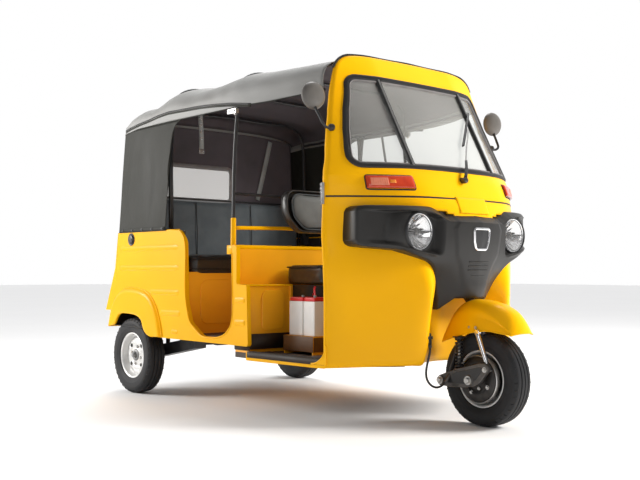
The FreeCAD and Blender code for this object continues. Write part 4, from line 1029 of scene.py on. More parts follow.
# centre face: a faint raised panel with soft edges
cw = np.interp(Zm, [556, 700, 743, 860, 888], [70, 120, 150, 168, 150])
Ym -= 5.0 * smooth01((cw - aX) / 26.0) * smooth01((Zm - 560) / 60.0)
top_d, bot_d, side_d = zt[None, :] - Zm, Zm - zb_[None, :], 566 - aX
Ym += roll(top_d, 5.0) + roll(bot_d, 9.0) + roll(side_d, 9.0)
Gm = np.stack([Xm, Ym, Zm], 2)


def back_rows(edge):
    """Skirt from the mask's edge back to the apron."""
    e = edge.copy()
    ay = apron_y(e[:, 0], np.minimum(e[:, 2], SEAM - 2))
    e2 = e.copy()
    e2[:, 1] = np.maximum(ay + 8, e[:, 1] + 6)
    return e2


top, bot = back_rows(Gm[-1]), back_rows(Gm[0])
Gm = np.concatenate([bot[None], Gm, top[None]], 0)
lft, rgt = back_rows(Gm[:, 0]), back_rows(Gm[:, -1])
Gm = np.concatenate([lft[:, None], Gm, rgt[:, None]], 1)
nv, nu = Gm.shape[:2]
LAMP_X, LAMP_Z = 318.0, 845.0
F = []
for f in grid_faces(nv, nu):
    c = Gm.reshape(-1, 3)[list(f)]
    r = np.hypot(np.abs(c[:, 0]) - LAMP_X, c[:, 2] - LAMP_Z)
    if (r < 79).all():
        continue
    F.append(f)
mask = obj("front_mask_panel", Gm.reshape(-1, 3), F, MASK, slot="mask_grey", replaces=("front_mask",))
m_ = mask.modifiers.new("wall", "SOLIDIFY")
m_.thickness = 0.003
m_.offset = -1

# thin ribs under the badge
parts = []
for z, w in ((717, 64), (699, 66), (681, 66), (656, 44)):
    xx = np.linspace(-w, w, 14)
    p = np.stack([xx, mask_y(xx, np.full_like(xx, z)) - 4.2, np.full_like(xx, z)], 1)
    n = np.broadcast_to([0, -1.0, 0.1], p.shape)
    parts.append(strip_data(p, n, half_round(7.0, 3.2 if z > 660 else 1.6, 6, 3)))
V, F = merge(parts)
clean(obj("mask_ribs", V, F, MASK, smooth=45, slot="mask_grey"))
# painted shadow: low darker strips between the ribs stand in for the shadows the ribs cast
parts = []
for z, w in ((708, 62), (690, 64)):
    xx = np.linspace(-w, w, 14)
    p = np.stack([xx, mask_y(xx, np.full_like(xx, z)) - 4.4, np.full_like(xx, z)], 1)
    parts.append(strip_data(p, np.broadcast_to([0, -1.0, 0.1], p.shape), half_round(6.0, 0.8, 5, 2)))
V, F = merge(parts)
clean(obj("mask_rib_painted_shadow", V, F, PIPING, smooth=45, slot="dark_plastic"))

# blank badge: a chrome frame round a bare dark field
BADGE = [(-55, 866), (55, 866), (50, 806), (36, 768), (-36, 768), (-50, 806)]
bo = resample(outline(BADGE, [11, 11, 30, 16, 16, 30], 8), 90, True)


def badge_pts(q, lift):
    return np.stack([q[:, 0], mask_y(q[:, 0], q[:, 1]) - 5.0 - lift, q[:, 1]], 1)


nb = np.broadcast_to([0, -1.0, 0.04], (len(bo), 3))
cb = np.array([0, 819.0])
V, F = strip_data(badge_pts(cb + (bo - cb) * 0.93, 0), nb, [(6, -4), (6, 2.5), (4.4, 5.2), (1.5, 6.4), (-1.5, 6.4), (-4.4, 5.2), (-6, 2.5), (-6, -4)], closed=True)
clean(obj("badge_frame", V, F, CHROME, smooth=45, slot="bare_steel"))
V, F = [], []
for k, f in enumerate((0.0, 0.4, 0.7, 0.9)):
    V += list(badge_pts(cb + (bo - cb) * f, 2.0 - 1.2 * f * f))
F = grid_faces(4, len(bo), cu=True)
clean(obj("badge_field", V, F, BLACKP, slot="dark_plastic"), 1e-6)

# ---------------------------------------------------------------- headlamps
for s, nm in ((-1, "right"), (1, "left")):
    c = (s * LAMP_X, 0, LAMP_Z)
    first = s == -1
    # black bezel ring
    pr = [(94, 80), (94.5, 83.5), (97, 86), (104, 87.5), (134, 88), (150, 84), (150, 78), (106, 76.5), (99, 76.6), (95.5, 78)]
    o = lathe("headlamp_bezel_" + nm, pr, c, (0, 1, 0), BLACKP, 72, slot="dark_plastic", replaces=("headlamps",))
    # bright inner ring
    pr = [(97.5, 76.4), (99, 77.2), (104, 77.2), (108, 74), (106, 72.0), (101, 73.5)]
    lathe("headlamp_ring_" + nm, pr, c, (0, 1, 0), CHROME, 72, slot="bare_steel")
    # reflector bowl with soft flutes
    n_r, n_t = 18, 96
    V = []
    for j in range(n_r):
        f = j / (n_r - 1.0)
        r = 75.0 * f
        for i in range(n_t):
            t = 2 * PI * i / n_t
            y = 158 - 50 * f ** 1.8 + 2.4 * math.sin(12 * t) * f * (1 - f) * 2.2
            V.append((c[0] + r * math.cos(t), y, c[2] + r * math.sin(t)))
    o = obj("headlamp_reflector_" + nm, V, grid_faces(n_r, n_t, cu=True, flip=True), CHROME, slot="bare_steel")
    clean(o, 1e-6)
    # bulb shield and the dark bar across the middle
    pr = [(112, 0), (112.5, 12), (116, 17), (124, 18), (140, 14), (150, 12), (150, 0)]
    lathe("headlamp_bulb_shield_" + nm, pr, c, (0, 1, 0), GREYSTEEL, 32, slot="bare_steel")
    V, F = merge([tube_data([(c[0] - 73, 116, c[2]), (c[0] - 40, 120, c[2] - 1), (c[0] - 12, 122, c[2] - 1)], [5.5, 6.5, 8], 10, squash=0.8),
                  tube_data([(c[0] + 73, 116, c[2]), (c[0] + 40, 120, c[2] - 1), (c[0] + 12, 122, c[2] - 1)], [5.5, 6.5, 8], 10, squash=0.8)])
    obj("headlamp_bar_" + nm, V, F, DRUM, slot="dark_plastic")
    # domed clear lens
    pr = [(100 - 16 * (1 - (r / 76.0) ** 2) ** 0.8 if r < 76 else 100.0, r) for r in np.linspace(0, 76, 14)]
    pr += [(y + 2.2, r) for y, r in reversed(pr)]
    lathe("headlamp_lens_" + nm, pr, c, (0, 1, 0), CLEAR_LENS, 72, slot="lamp")

# ---------------------------------------------------------------- indicators on the cowl
for s, nm in ((-1, "right"), (1, "left")):
    xs = np.concatenate([[308, 308.3, 309.2, 311, 315], np.linspace(325, 470, 14), [478, 482, 483.8, 484.7, 485]])
    zs = np.array([1029, 1029.3, 1030.4, 1033, 1038, 1047, 1056, 1065, 1074, 1079, 1081.6, 1082.7, 1083])
    X, Zi = np.meshgrid(xs, zs)
    d = np.minimum(np.minimum(X - 308, 485 - X), np.minimum(Zi - 1029, 1083 - Zi))
    pts, n = on_cowl(np.stack([X.ravel(), Zi.ravel()], 1))
    lift = 13.0 - roll(d, 7.0).ravel() * 1.0
    G = (pts + n * lift[:, None]).reshape(X.shape + (3,))
    def skirt(G):
        q = [G[0], G[-1]]
        b = G[:1].copy(); t = G[-1:].copy()
        b[:, :, 1] += 16; t[:, :, 1] += 16
        G = np.concatenate([b, G, t], 0)
        l = G[:, :1].copy(); r = G[:, -1:].copy()
        l[:, :, 1] += 12; r[:, :, 1] += 12
        return np.concatenate([l, G, r], 1)
    G = skirt(G)
    G[:, :, 0] *= s
    kw = dict(replaces=("indicators",), slot="signal")
    grid("indicator_lens_" + nm, G, SIG_RED, flip=(s < 0), **kw)
    # pale ribbed window, whose pale pink is partly its own tone and partly a painted highlight, and a small amber prism
    # next to it
    V, F = [], []
    X, Zi = np.meshgrid(np.linspace(408, 472, 35), np.array([1040, 1042, 1049, 1056, 1063, 1070, 1072]))
    pts, n = on_cowl(np.stack([X.ravel(), Zi.ravel()], 1))
    rb = 1.1 * np.abs(np.sin((X.ravel() - 408) / 64 * PI * 8))
    G = (pts + n * (13.2 + rb)[:, None]).reshape(X.shape + (3,))
    G = skirt(G)
    G[:, :, 0] *= s
    grid("indicator_window_" + nm, G, SIG_PALE_AND_HIGHLIGHT, flip=(s < 0), slot="signal")
    X, Zi = np.meshgrid(np.linspace(381, 403, 5), np.array([1049, 1052, 1056, 1060, 1063]))
    pts, n = on_cowl(np.stack([X.ravel(), Zi.ravel()], 1))
    G = (pts + n * 13.6).reshape(X.shape + (3,))
    G = skirt(G)
    G[:, :, 0] *= s
    grid("indicator_prism_" + nm, G, TAIL_AMBER, flip=(s < 0), slot="signal")
    # thin rubber foot round it
    q = resample(outline([(304, 1025), (489, 1025), (489, 1087), (304, 1087)], 9, 6), 120, True)
    q[:, 0] *= s
    if s < 0:
        q = q[::-1]
    p, n = on_cowl(q)
    strip("indicator_foot_" + nm, p, n, half_round(7, 2.2, 5, 3), RUBBER, closed=True, slot="dark_plastic")

# ---------------------------------------------------------------- wiper
def cy(x, z, lift=0.0):
    p, n = on_cowl(np.array([[x, z]]), lift)
    return p[0]


wy = float(cowl_y(-12, 1083))
lathe("wiper_spindle_cap", [(0, 0), (0, 11), (3, 13), (9, 14), (40, 14), (40, 0)], (-12, wy - 30, 1083), (0, 1, 0), GREYSTEEL, 32, slot="bare_steel", replaces=("wiper",))
arm = [cy(-12, 1083, 24), cy(4, 1104, 24), cy(55, 1172, 17)]
tube("wiper_arm_root", through(arm, 14), np.linspace(8, 6, 14), BLACKP, 10, slot="dark_plastic")
tube("wiper_arm_blade_carrier", through([cy(50, 1166, 16), cy(126, 1260, 15), cy(202, 1352, 14), cy(208, 1361, 12)], 24), 3.4, STEEL, 10, slot="bare_steel")
q = np.array([[102, 1256], [146, 1301], [191, 1347], [236, 1393], [281, 1441]], float)
qq = through(q, 30)
p, n = on_cowl(qq)
strip("wiper_blade", p, n, [(2.0, 1.0), (3.2, 6.0), (5.5, 11.0), (3.5, 15.0), (-3.5, 15.0), (-5.5, 11.0), (-3.2, 6.0), (-2.0, 1.0)], BLACKP, slot="dark_plastic")

# ---------------------------------------------------------------- mirrors
for s, nm in ((-1, "right"), (1, "left")):
    c = np.array([s * 612.0, 454, 1441])
    d = np.array([0.10, 1.0, 0.0])
    d /= np.linalg.norm(d)
    pr = [(-25, 0), (-24.2, 14), (-21.5, 28), (-17, 41), (-10, 52), (-2, 58.8), (4, 61), (9, 60.5), (10, 58), (7, 56), (7, 0)]
    o = lathe("mirror_shell_" + nm, pr, c, d, MIRBACK, 64, slot="mirror_black", replaces=("mirrors",))
    lathe("mirror_glass_" + nm, [(7.5, 0), (7.5, 55.5), (9.0, 55.5), (9.6, 0)], c, d, MIRROR, 48, slot="bare_steel")
    st = [(s * 540, 413, 1303), (s * 578, 409, 1301), (s * 596, 408, 1312), (s * 604, 420, 1340), (s * 609, 438, 1372), (s * 611, 450, 1394)]
    tube("mirror_stalk_" + nm, through(st, 34), np.interp(np.linspace(0, 1, 34), [0, 0.15, 0.9, 1], [7, 6, 6, 8]), BLACKP, 12, slot="mirror_black")
    lathe("mirror_stalk_clamp_" + nm, [(0, 0), (0, 14), (3, 16), (15, 16), (20, 12), (24, 8), (24, 0)], (s * 537, 413, 1303), (s, -0.05, 0), BLACKP, 32, slot="mirror_black")

# =====================================================================================================
# front fender (turns with the steering)
# =====================================================================================================
FEN = [(-214, 414, 70, 8, 76, 405), (-196, 452, 71, 26, 79, 409), (-160, 498, 71, 48, 85, 412), (-114, 524, 72, 46, 91, 417), (-60, 541, 73, 38, 94, 420),
       (-10, 550, 73, 34, 97, 414), (60, 550, 73, 38, 98, 399), (115, 528, 72, 44, 96, 383), (155, 489, 70, 50, 94, 370), (178, 451, 67, 50, 92, 361)]
ft = np.array(FEN, float)
arc = chord(ft[:, :2])
sy = np.interp(np.concatenate([[0, 1.5, 4, 8], np.linspace(14, arc[-1] - 10, 74), [arc[-1] - 6, arc[-1] - 3, arc[-1]]]), arc, ft[:, 0])
tt = np.interp(sy, ft[:, 0], arc)
par = csp(arc, ft, tt)
N_C, N_F = 26, 26
G = []
for y0, crest, sw, drop, kw, low in par:
    cz = crest - drop
    top = [(sw * k / N_C, crest - drop * (k / N_C) ** 3.0, 0.0) for k in range(N_C + 1)]
    flank = [(sw + (kw - sw) * (k / N_F) ** 0.75, cz + (low - cz) * k / N_F, k / N_F) for k in range(1, N_F + 1)]
    half_ = np.array(top + flank)
    f = half_[:, 2]
    y_r, y_f = 53 - 51 * f, -28 - 32 * f
    ramp_ = np.clip((y0 - y_f) / (y_r - y_f), 0, 1)
    half_[:, 0] -= 9.0 * (1 - ramp_) * smooth01((f - 0.10) / 0.30) * np.clip((y0 + 214) / 60, 0, 1)
    # soften the crease along the shoulder
    xz_ = half_[:, :2].copy()
    for _ in range(5):
        xz_[1:-1] = 0.25 * xz_[:-2] + 0.5 * xz_[1:-1] + 0.25 * xz_[2:]
    bow = 23.0 * (np.abs(xz_[:, 0]) / 76.0) ** 2 * (1 - smooth01((y0 + 214) / 130.0))
    r3 = np.stack([xz_[:, 0], y0 + bow, xz_[:, 1]], 1)
    l3 = r3[::-1][:-1].copy()
    l3[:, 0] *= -1
    G.append(np.concatenate([l3, r3], 0))
G = np.array(G)
fen = grid("front_fender_shell", G, YELLOW, thick=3.0, body="steering", slot="body_yellow", replaces=("front_fender",), offset=1.0, flip=True, even=False)
# rolled rim along the lower edge
for s in (0, -1):
    e = G[:, s]
    nrm = np.zeros_like(e)
    nrm[:, 0] = np.sign(e[:, 0])
    tube("front_fender_rim_%s" % ("right" if s == 0 else "left"), e + nrm * -1.5, 3.0, YELLOW, 8, body="steering", slot="body_yellow")
tube("front_fender_rim_front", G[0] + np.array([0, 1.5, 0]), 3.0, YELLOW, 8, body="steering", slot="body_yellow")
tube("front_fender_rim_back", G[-1] + np.array([0, -1.5, 0]), 3.0, YELLOW, 8, body="steering", slot="body_yellow")
bolts("front_fender_bolts", [((s * 92.0, y, 432), (s, 0, 0), 5, 3) for s in (-1, 1) for y in (-14, 22)], STEEL, body="steering", slot="bare_steel")

# =====================================================================================================
# wheels
# =====================================================================================================
def tyre_profile():
    """(along, radius) from the bead round the tread: sidewall ribs, shoulder step and three grooves."""
    side = [(33.5, 119), (37.5, 121), (42.5, 127), (44.5, 131), (45.6, 131.6), (46.6, 134), (49.5, 142), (51.2, 149), (52.4, 151), (52.6, 153.5), (53.0, 158), (53.9, 164),
            (54.0, 171), (53.7, 176), (53.9, 177), (53.6, 180), (52.6, 182), (51.9, 186), (50.3, 191), (49.8, 191.6), (49.2, 191.8), (47.8, 194), (44.0, 199.6), (41.0, 202.8)]
    tread = [(40.0, 203.4), (34.5, 204.6), (28.0, 205.5)]
    def groove(c):
        return [(c + 3.2, None), (c + 2.6, -1), (c + 2.2, -5), (c - 2.2, -5), (c - 2.6, -1), (c - 3.2, None)]
    pts = list(side) + tread
    def crown(a):
        return 207.0 - 1.5 * (a / 28.0) ** 2
    for c in (21.0, 0.0, -21.0):
        for a, d in groove(c):
            pts.append((a, crown(a) + (d or 0)))
        if c > -21:
            for a in (c - 7, c - 11, c - 14):
                pts.append((a, crown(a)))
    pts += [(-a, r) for a, r in reversed(tread)] + [(-a, r) for a, r in reversed(side)]
    return pts


def rim_profile():
    """(along, radius): outer flange, well, inner flange; closed band."""
    out = [(33, 117.5), (35, 119.5), (37.5, 124), (40, 126), (42, 125), (42.2, 122), (40.5, 118.5), (37.5, 115.5), (33, 113.5), (27, 112), (19, 107), (10, 104), (-10, 104), (-19, 107), (-27, 112),
           (-33, 113.5), (-37.5, 115.5), (-40.5, 118.5), (-42.2, 122), (-42, 125), (-40, 126), (-37.5, 124), (-35, 119.5), (-33, 117.5), (-20, 113), (-12, 108), (12, 108), (20, 113)]
    return out


def holed_disc(prof, c, d, r_a, r_b, hole_r, hole_at, nh, thick=2.5):
    """Middle annulus of a pressed disc, with round holes; the caller adds the lathe rings inside and outside. prof(r)
    gives the height.
    """
    c = np.asarray(c, float)
    V, F = [], []

    def add(polar):
        base = len(V)
        for r, a in polar.reshape(-1, 2):
            V.append((c[0] + d * prof(r), c[1] + r * math.cos(a), c[2] + r * math.sin(a)))
        return base
    n = 24
    for k in range(nh):
        a0 = 2 * PI * (k + 0.5) / nh - PI / nh
        a1 = a0 + 2 * PI / nh
        am = (a0 + a1) / 2
        loop = [(r_a, a0 + (a1 - a0) * i / n) for i in range(n)] + [(r_a + (r_b - r_a) * i / 8, a1) for i in range(8)]
        loop += [(r_b, a1 - (a1 - a0) * i / n) for i in range(n)] + [(r_b - (r_b - r_a) * i / 8, a0) for i in range(8)]
        loop = np.array(loop)
        m = len(loop)
        lx = np.stack([loop[:, 0] * np.cos(loop[:, 1]), loop[:, 0] * np.sin(loop[:, 1])], 1)
        hc = np.array([hole_at * math.cos(am), hole_at * math.sin(am)])
        rel = lx - hc
        th = np.arctan2(rel[:, 1], rel[:, 0])
        hl = hc + np.stack([np.cos(th), np.sin(th)], 1) * hole_r
        rings = []
        for f in (0, 0.5, 0.8, 0.93, 1.0):
            q = lx + (hl - lx) * f
            rings.append(np.stack([np.hypot(q[:, 0], q[:, 1]), np.arctan2(q[:, 1], q[:, 0])], 1))
        rings = np.array(rings)
        base = len(V)
        for j, rg in enumerate(rings):
            for r, a in rg:
                sink = 2.2 * (1 if j == 4 else (0.4 if j == 3 else 0))
                V.append((c[0] + d * (prof(r) - sink), c[1] + r * math.cos(a), c[2] + r * math.sin(a)))
        F += grid_faces(5, m, cu=True, base=base)
    return V, F


def wheel(nm, c, d, rim_mat, body, tyre_node, rim_node, cap=True):
    c = np.asarray(c, float)
    o = lathe("tyre_" + nm, [(a, r) for a, r in tyre_profile()], c, (1, 0, 0), TYRE, 120, body=body, slot="tyre", replaces=(tyre_node,))
    o.data.set_sharp_from_angle(angle=math.radians(40))
    # moulded bars on the shoulders
    parts = []
    for k in range(40):
        a = 2 * PI * k / 40
        for s in (-1, 1):
            pts = []
            for f in np.linspace(0, 1, 5):
                ax, rr = s * (40.5 + 10.4 * f), 203.0 - 11.5 * f ** 1.3
                pts.append((c[0] + ax, c[1] + rr * math.cos(a + 0.03 * f), c[2] + rr * math.sin(a + 0.03 * f)))
            parts.append(tube_data(pts, [1.2, 2.0, 2.2, 2.0, 1.2], 6))
    V, F = merge(parts)
    obj("tyre_shoulder_bars_" + nm, V, F, TYRE, body=body, slot="tyre")
    lathe("rim_" + nm, rim_profile(), c, (1, 0, 0), rim_mat, 96, body=body, slot="rim_silver", replaces=(rim_node,))

    def prof(r):
        return float(np.interp(r, [30, 36, 44, 52, 60, 70, 84, 92, 100, 107], [16, 15.5, 11, 10.5, 14, 17, 16, 10, 4, 2]))
    V, F = holed_disc(prof, c, d, 56.0, 90.0, 11.0, 72.0, 4)
    rr = [(prof(r), r) for r in (30, 33, 36, 40, 44, 48, 52, 56)]
    V2, F2 = lathe_data(rr, c, (d, 0, 0), 96, closed=False)
    rr = [(prof(r), r) for r in (90, 93, 96, 100, 104, 107)]
    V3, F3 = lathe_data(rr, c, (d, 0, 0), 96, closed=False)
    V, F = merge([(V, F), (V2, F2), (V3, F3)])
    o = obj("rim_disc_" + nm, V, F, rim_mat, body=body, slot="rim_silver")
    clean(o, 2e-4)
    m = o.modifiers.new("wall", "SOLIDIFY")
    m.thickness = 0.0025
    m.offset = 0.0
    # drum, hub, nuts
    lathe("rim_drum_" + nm, [(-34, 30), (-34, 88), (-26, 92), (-2, 92), (3, 86), (4, 30)], c, (d, 0, 0), DRUM, 72, body=body, slot="bare_steel")
    prh = [(2, 20), (2, 33.5), (12, 33.5), (19, 32), (22, 28), (24, 24), (24, 15), (2, 15)]
    lathe("rim_hub_" + nm, prh, c, (d, 0, 0), CAST, 48, body=body, slot="bare_steel")
    its = []
    for k in range(4):
        a = PI * k / 2 + (0.25 if d < 0 else 0.1)
        its.append(((c[0] + d * 10.5, c[1] + 48 * math.cos(a), c[2] + 48 * math.sin(a)), (d, 0, 0), 8.0, 10.0))
    bolts("rim_nuts_" + nm, its, STEEL, body=body, slot="bare_steel")


HW = 575.0
wheel("front", (0, 0, 207), 1, RIM, "front_wheel", "front_tyre", "front_rim")
wheel("rear_left", (HW, 2000, 207), 1, RIM, "rear_wheel_left", "rear_tyre_left", "rear_rim_left")
wheel("rear_right", (-HW, 2000, 207), -1, RIM, "rear_wheel_right", "rear_tyre_right", "rear_rim_right")
for s, nm in ((-1, "right"), (1, "left")):
    c = (s * HW, 2000, 207)
    lathe("rear_axle_cap_" + nm, [(20, 0), (20, 14.2), (30, 14.2), (34, 12), (38, 12), (40, 9), (40, 0)], c, (s, 0, 0), CAST, 32, body="rear_wheel_" + nm, slot="bare_steel")
lathe("front_axle_cap", [(50, 0), (50, 12.2), (56, 12.2), (56, 9), (62, 9), (63, 0)], (0, 0, 207), (1, 0, 0), CAST, 32, body="front_wheel", slot="bare_steel")

# =====================================================================================================
# front link, brake plate, spring and damper
# =====================================================================================================
# back plate: pressed dish with a bright turned rim
pr = [(-60, 0), (-66, 12), (-66.5, 30), (-64, 34), (-64, 52), (-68, 58), (-70, 70), (-69.5, 82), (-66, 90), (-64, 97), (-60, 98), (-58, 96), (-58, 0)]
lathe("brake_back_plate", pr, (0, 0, 207), (1, 0, 0), DRUM, 96, body="steering", slot="dark_steel", replaces=("front_link",))
lathe("front_hub_rim_edge", [(-54, 100), (-62, 100), (-63.5, 102), (-61, 104.5), (-56, 106), (-40, 106), (-40, 101), (-54, 100)], (0, 0, 207), (1, 0, 0), STEEL, 96, body="front_wheel", slot="rim_silver")
its = []
for a, r, rr in ((0.55, 66, 6.5), (2.2, 60, 6.0), (3.6, 66, 6.5), (5.2, 64, 6.0), (4.4, 40, 5.0)):
    its.append(((-69, r * math.cos(a), 207 + r * math.sin(a)), (-1, 0, 0), rr, 5))
bolts("brake_plate_bolts", its, STEEL, body="steering", slot="bare_steel")
# raised ribs and a boss for the brake cylinder
parts = [tube_data([(-69, -30, 262), (-71, 2, 270), (-69, 34, 262)], [7, 9, 7], 10, squash=0.7),
         lathe_data([(0, 0), (0, 20), (-7, 19), (-9, 15), (-9, 0)], (-66, 0, 207), (1, 0, 0), 36),
         tube_data([(-68, -50, 190), (-70, -42, 168), (-68, -24, 152)], [4, 5, 4], 8),
         tube_data([(-68, 50, 176), (-70, 38, 158), (-68, 20, 146)], [4, 5, 4], 8)]
V, F = merge(parts)
clean(obj("brake_plate_bosses", V, F, DRUM, body="steering", smooth=40, slot="dark_steel"))
# link arm
link_pts = [(176, 172), (180, 193), (176, 214), (70, 252), (-60, 286), (-92, 284), (-106, 272), (-104, 254), (-60, 200), (-30, 182), (40, 172), (120, 170)]
prism("front_link_arm", [(-122, y, z) for y, z in resample(outline(link_pts, 11, 6), 90, True)], (20, 0, 0), GREYSTEEL, 3.0, 3, body="steering", slot="dark_steel")
prism("front_link_web", [(-123.5, y, z) for y, z in resample(outline([(150, 186), (150, 206), (64, 238), (-60, 268), (-84, 264), (-40, 212), (20, 190)], 8, 5), 60, True)], (3, 0, 0), DARKSTEEL, 1.2, 2, body="steering", slot="dark_steel")
V, F = merge([lathe_data([(-40, 0), (-40, 14), (-36, 17), (-12, 17), (-12, 0)], (-88, 160, 196), (1, 0, 0), 32),
              lathe_data([(-40, 0), (-40, 20), (-36, 24), (20, 24), (20, 0)], (-88, 0, 207), (1, 0, 0), 40),
              lathe_data([(0, 0), (0, 9), (2, 10), (30, 10), (34, 9), (34, 0)], (-122, -86, 258), (1, 0, 0), 28),
              tube_data([(-141, 118, 189), (-130, 114, 206), (-119, 110, 223)], [8.5, 8.5, 8], 14)])
clean(obj("front_link_bosses", V, F, GREYSTEEL, body="steering", smooth=40, slot="dark_steel"))
bolts("front_link_nuts", [((-128, 160, 196), (-1, 0, 0), 12, 11), ((-129, 0, 207), (-1, 0, 0), 13, 12), ((-122, -86, 258), (-1, 0, 0), 8, 7)], STEEL, body="steering", slot="bare_steel")
# coil spring between two cups
zz = np.linspace(254, 380, 300)
tu = np.linspace(0, 8.6 * 2 * PI, 300)
p = np.stack([-96 + 15.2 * np.cos(tu), 75 + 15.2 * np.sin(tu), zz], 1)
V, F = tube_data(p, 3.7, 10, up=(0, 0, 1))
clean(obj("front_spring_coil", V, F, BLACKP, body="steering", slot="dark_steel", replaces=("front_spring",)), 1e-6)
V, F = merge([lathe_data([(0, 0), (0, 19), (3, 20.5), (7, 20.5), (7, 17), (4, 16), (4, 0)], (-96, 75, 246), (0, 0, 1), 32),
              lathe_data([(0, 0), (0, 18), (-3, 20.5), (-7, 20.5), (-7, 0)], (-96, 75, 388), (0, 0, 1), 32)])
clean(obj("front_spring_cups", V, F, DARKSTEEL, body="steering", smooth=40, slot="dark_steel"))
tube("front_spring_guide", [(-96, 75, 250), (-96, 75, 384)], 6.5, STEEL, 14, body="steering", slot="bare_steel")
tube("front_spring_seat", [(-128, 73, 240), (-70, 73, 240)], [5, 5], GREYSTEEL, 10, body="steering", slot="dark_steel")
# damper
a_, b_, c_ = np.array([-94, -26, 408.]), np.array([-94, -61, 320.]), np.array([-94, -85, 262.])
V, F = tube_data([a_, a_ + (b_ - a_) * 0.02, b_, b_ + (b_ - a_) * 0.02], [8, 11.5, 11.5, 8], 24)
clean(obj("front_damper_body", V, F, CHROME, body="steering", smooth=50, slot="bare_steel", replaces=("front_damper",)))
V, F = merge([tube_data([b_, b_ + (c_ - b_) * 0.5], [9, 9], 16), tube_data([b_, c_], [5.5, 5.5], 14)])
clean(obj("front_damper_rod", V, F, CHROME, body="steering", smooth=50, slot="bare_steel"))
V, F = merge([lathe_data([(-9, 0), (-9, 12), (-7, 14), (7, 14), (9, 12), (9, 0)], (-94, -26, 412), (1, 0, 0), 28),
              lathe_data([(-9, 0), (-9, 10), (-7, 12), (7, 12), (9, 10), (9, 0)], (-94, -86, 258), (1, 0, 0), 28)])
clean(obj("front_damper_eyes", V, F, CHROME, body="steering", smooth=40, slot="bare_steel"))

# =====================================================================================================
# rear body: side panels with pressed ribs, fenders, back wall, lid
# =====================================================================================================
ARCH = [(2000 + 330 * math.cos(math.radians(159.3 - k * (159.3 - 63.0) / 12)), 207 + 330 * math.sin(math.radians(159.3 - k * (159.3 - 63.0) / 12))) for k in range(13)]
SIDE = [(892, 322)] + ARCH + [(2150, 501), (2126, 886), (1494, 886), (1436, 830), (1424, 527), (1385, 417), (1276, 352), (1171, 348), (1087, 367), (1029, 418), (1014, 513), (1022, 793), (986, 793), (985, 612), (905, 609)]
SIDE_R = [14] + [0] * 13 + [0, 14, 34, 60, 200, 70, 70, 70, 70, 70, 80, 8, 8, 10, 10]
sp = outline(SIDE, SIDE_R, 10)


def rib_data(y0, y1, z, w=30.0, h=3.4, x=640.0, slope=0.0):
    """Pressed rib with tapered ends on the outer face."""
    n = 26
    yy = np.linspace(y0, y1, n)
    V = []
    prof = [(-w / 2, -1.0), (-w / 2, 0.0), (-w / 2 + 3.5, h * 0.55), (-w / 2 + 8, h), (w / 2 - 8, h), (w / 2 - 3.5, h * 0.55), (w / 2, 0.0), (w / 2, -1.0)]
    for i, y in enumerate(yy):
        e = min(1.0, min(y - y0, y1 - y) / 16.0)
        e = math.sqrt(max(0.0, 1 - (1 - e) ** 2))
        for b, n_ in prof:
            V.append((x + (n_ if n_ < 0 else n_ * e), y, z + slope * (y - y0) + b * (0.55 + 0.45 * e)))
    F = grid_faces(n, len(prof), cu=True)
    F.append(tuple(range(len(prof)))[::-1])
    F.append(tuple(range((n - 1) * len(prof), n * len(prof))))
    return V, F


for s, nm in ((-1, "right"), (1, "left")):
    o = prism("side_panel_skin_" + nm, [(s * 618.0, y, z) for y, z in sp], (s * 22.0, 0, 0), YELLOW, 5.5, 4, slot="body_yellow", replaces=("side_panel_" + nm,))
    parts = [rib_data(1500, 2098, 797), rib_data(1494, 2104, 690), rib_data(1490, 1776, 562), rib_data(1478, 1668, 455),
             rib_data(918, 998, 536), rib_data(916, 1000, 430), rib_data(1500, 1560, 360, w=22)]
    V, F = merge(parts)
    V = [(s * v[0], v[1], v[2]) for v in V]
    clean(obj("side_panel_ribs_" + nm, V, F, YELLOW, smooth=60, slot="body_yellow"))
    # folded edge round the entry opening
    q = np.array([(1494, 886), (1450, 850), (1436, 815), (1431, 700), (1424, 527), (1407, 462), (1385, 417), (1340, 384), (1276, 352), (1220, 346), (1171, 348), (1120, 356), (1087, 367), (1052, 390), (1029, 418), (1017, 460), (1014, 513), (1017, 600), (1022, 760)], float)
    q = through(q, 120)
    p = np.stack([np.full(len(q), s * 639.0), q[:, 0], q[:, 1]], 1)
    tube("entry_edge_roll_" + nm, p, 4.2, YELLOW, 10, slot="body_yellow")
    # top rail of the body side
    tube("body_top_roll_" + nm, [(s * 634.0, 1496, 886), (s * 634.0, 1600, 887), (s * 634.0, 1900, 887), (s * 634.0, 2118, 887)], 5.5, YELLOW, 12, slot="body_yellow")
# fuel filler on the right
c = np.array([-640.0, 1977, 848])
lathe("filler_recess", [(-1, 0), (-1, 33), (2.5, 35), (3.5, 31), (1.0, 28), (0.5, 0)], c, (-1, 0, 0), BLACKP, 48, slot="dark_plastic")
lathe("filler_cap", [(0, 0), (0, 23), (5, 25), (7.5, 23), (8, 12), (8, 0)], c, (-1, 0, 0), DARKSTEEL, 40, slot="dark_plastic")
prism("filler_cap_grip", [(-647.0, y, z) for y, z in outline([(1961, 843), (1993, 843), (1993, 853), (1961, 853)], 3, 3)], (-3.0, 0, 0), BLACKP, 1.2, 2, slot="dark_plastic")

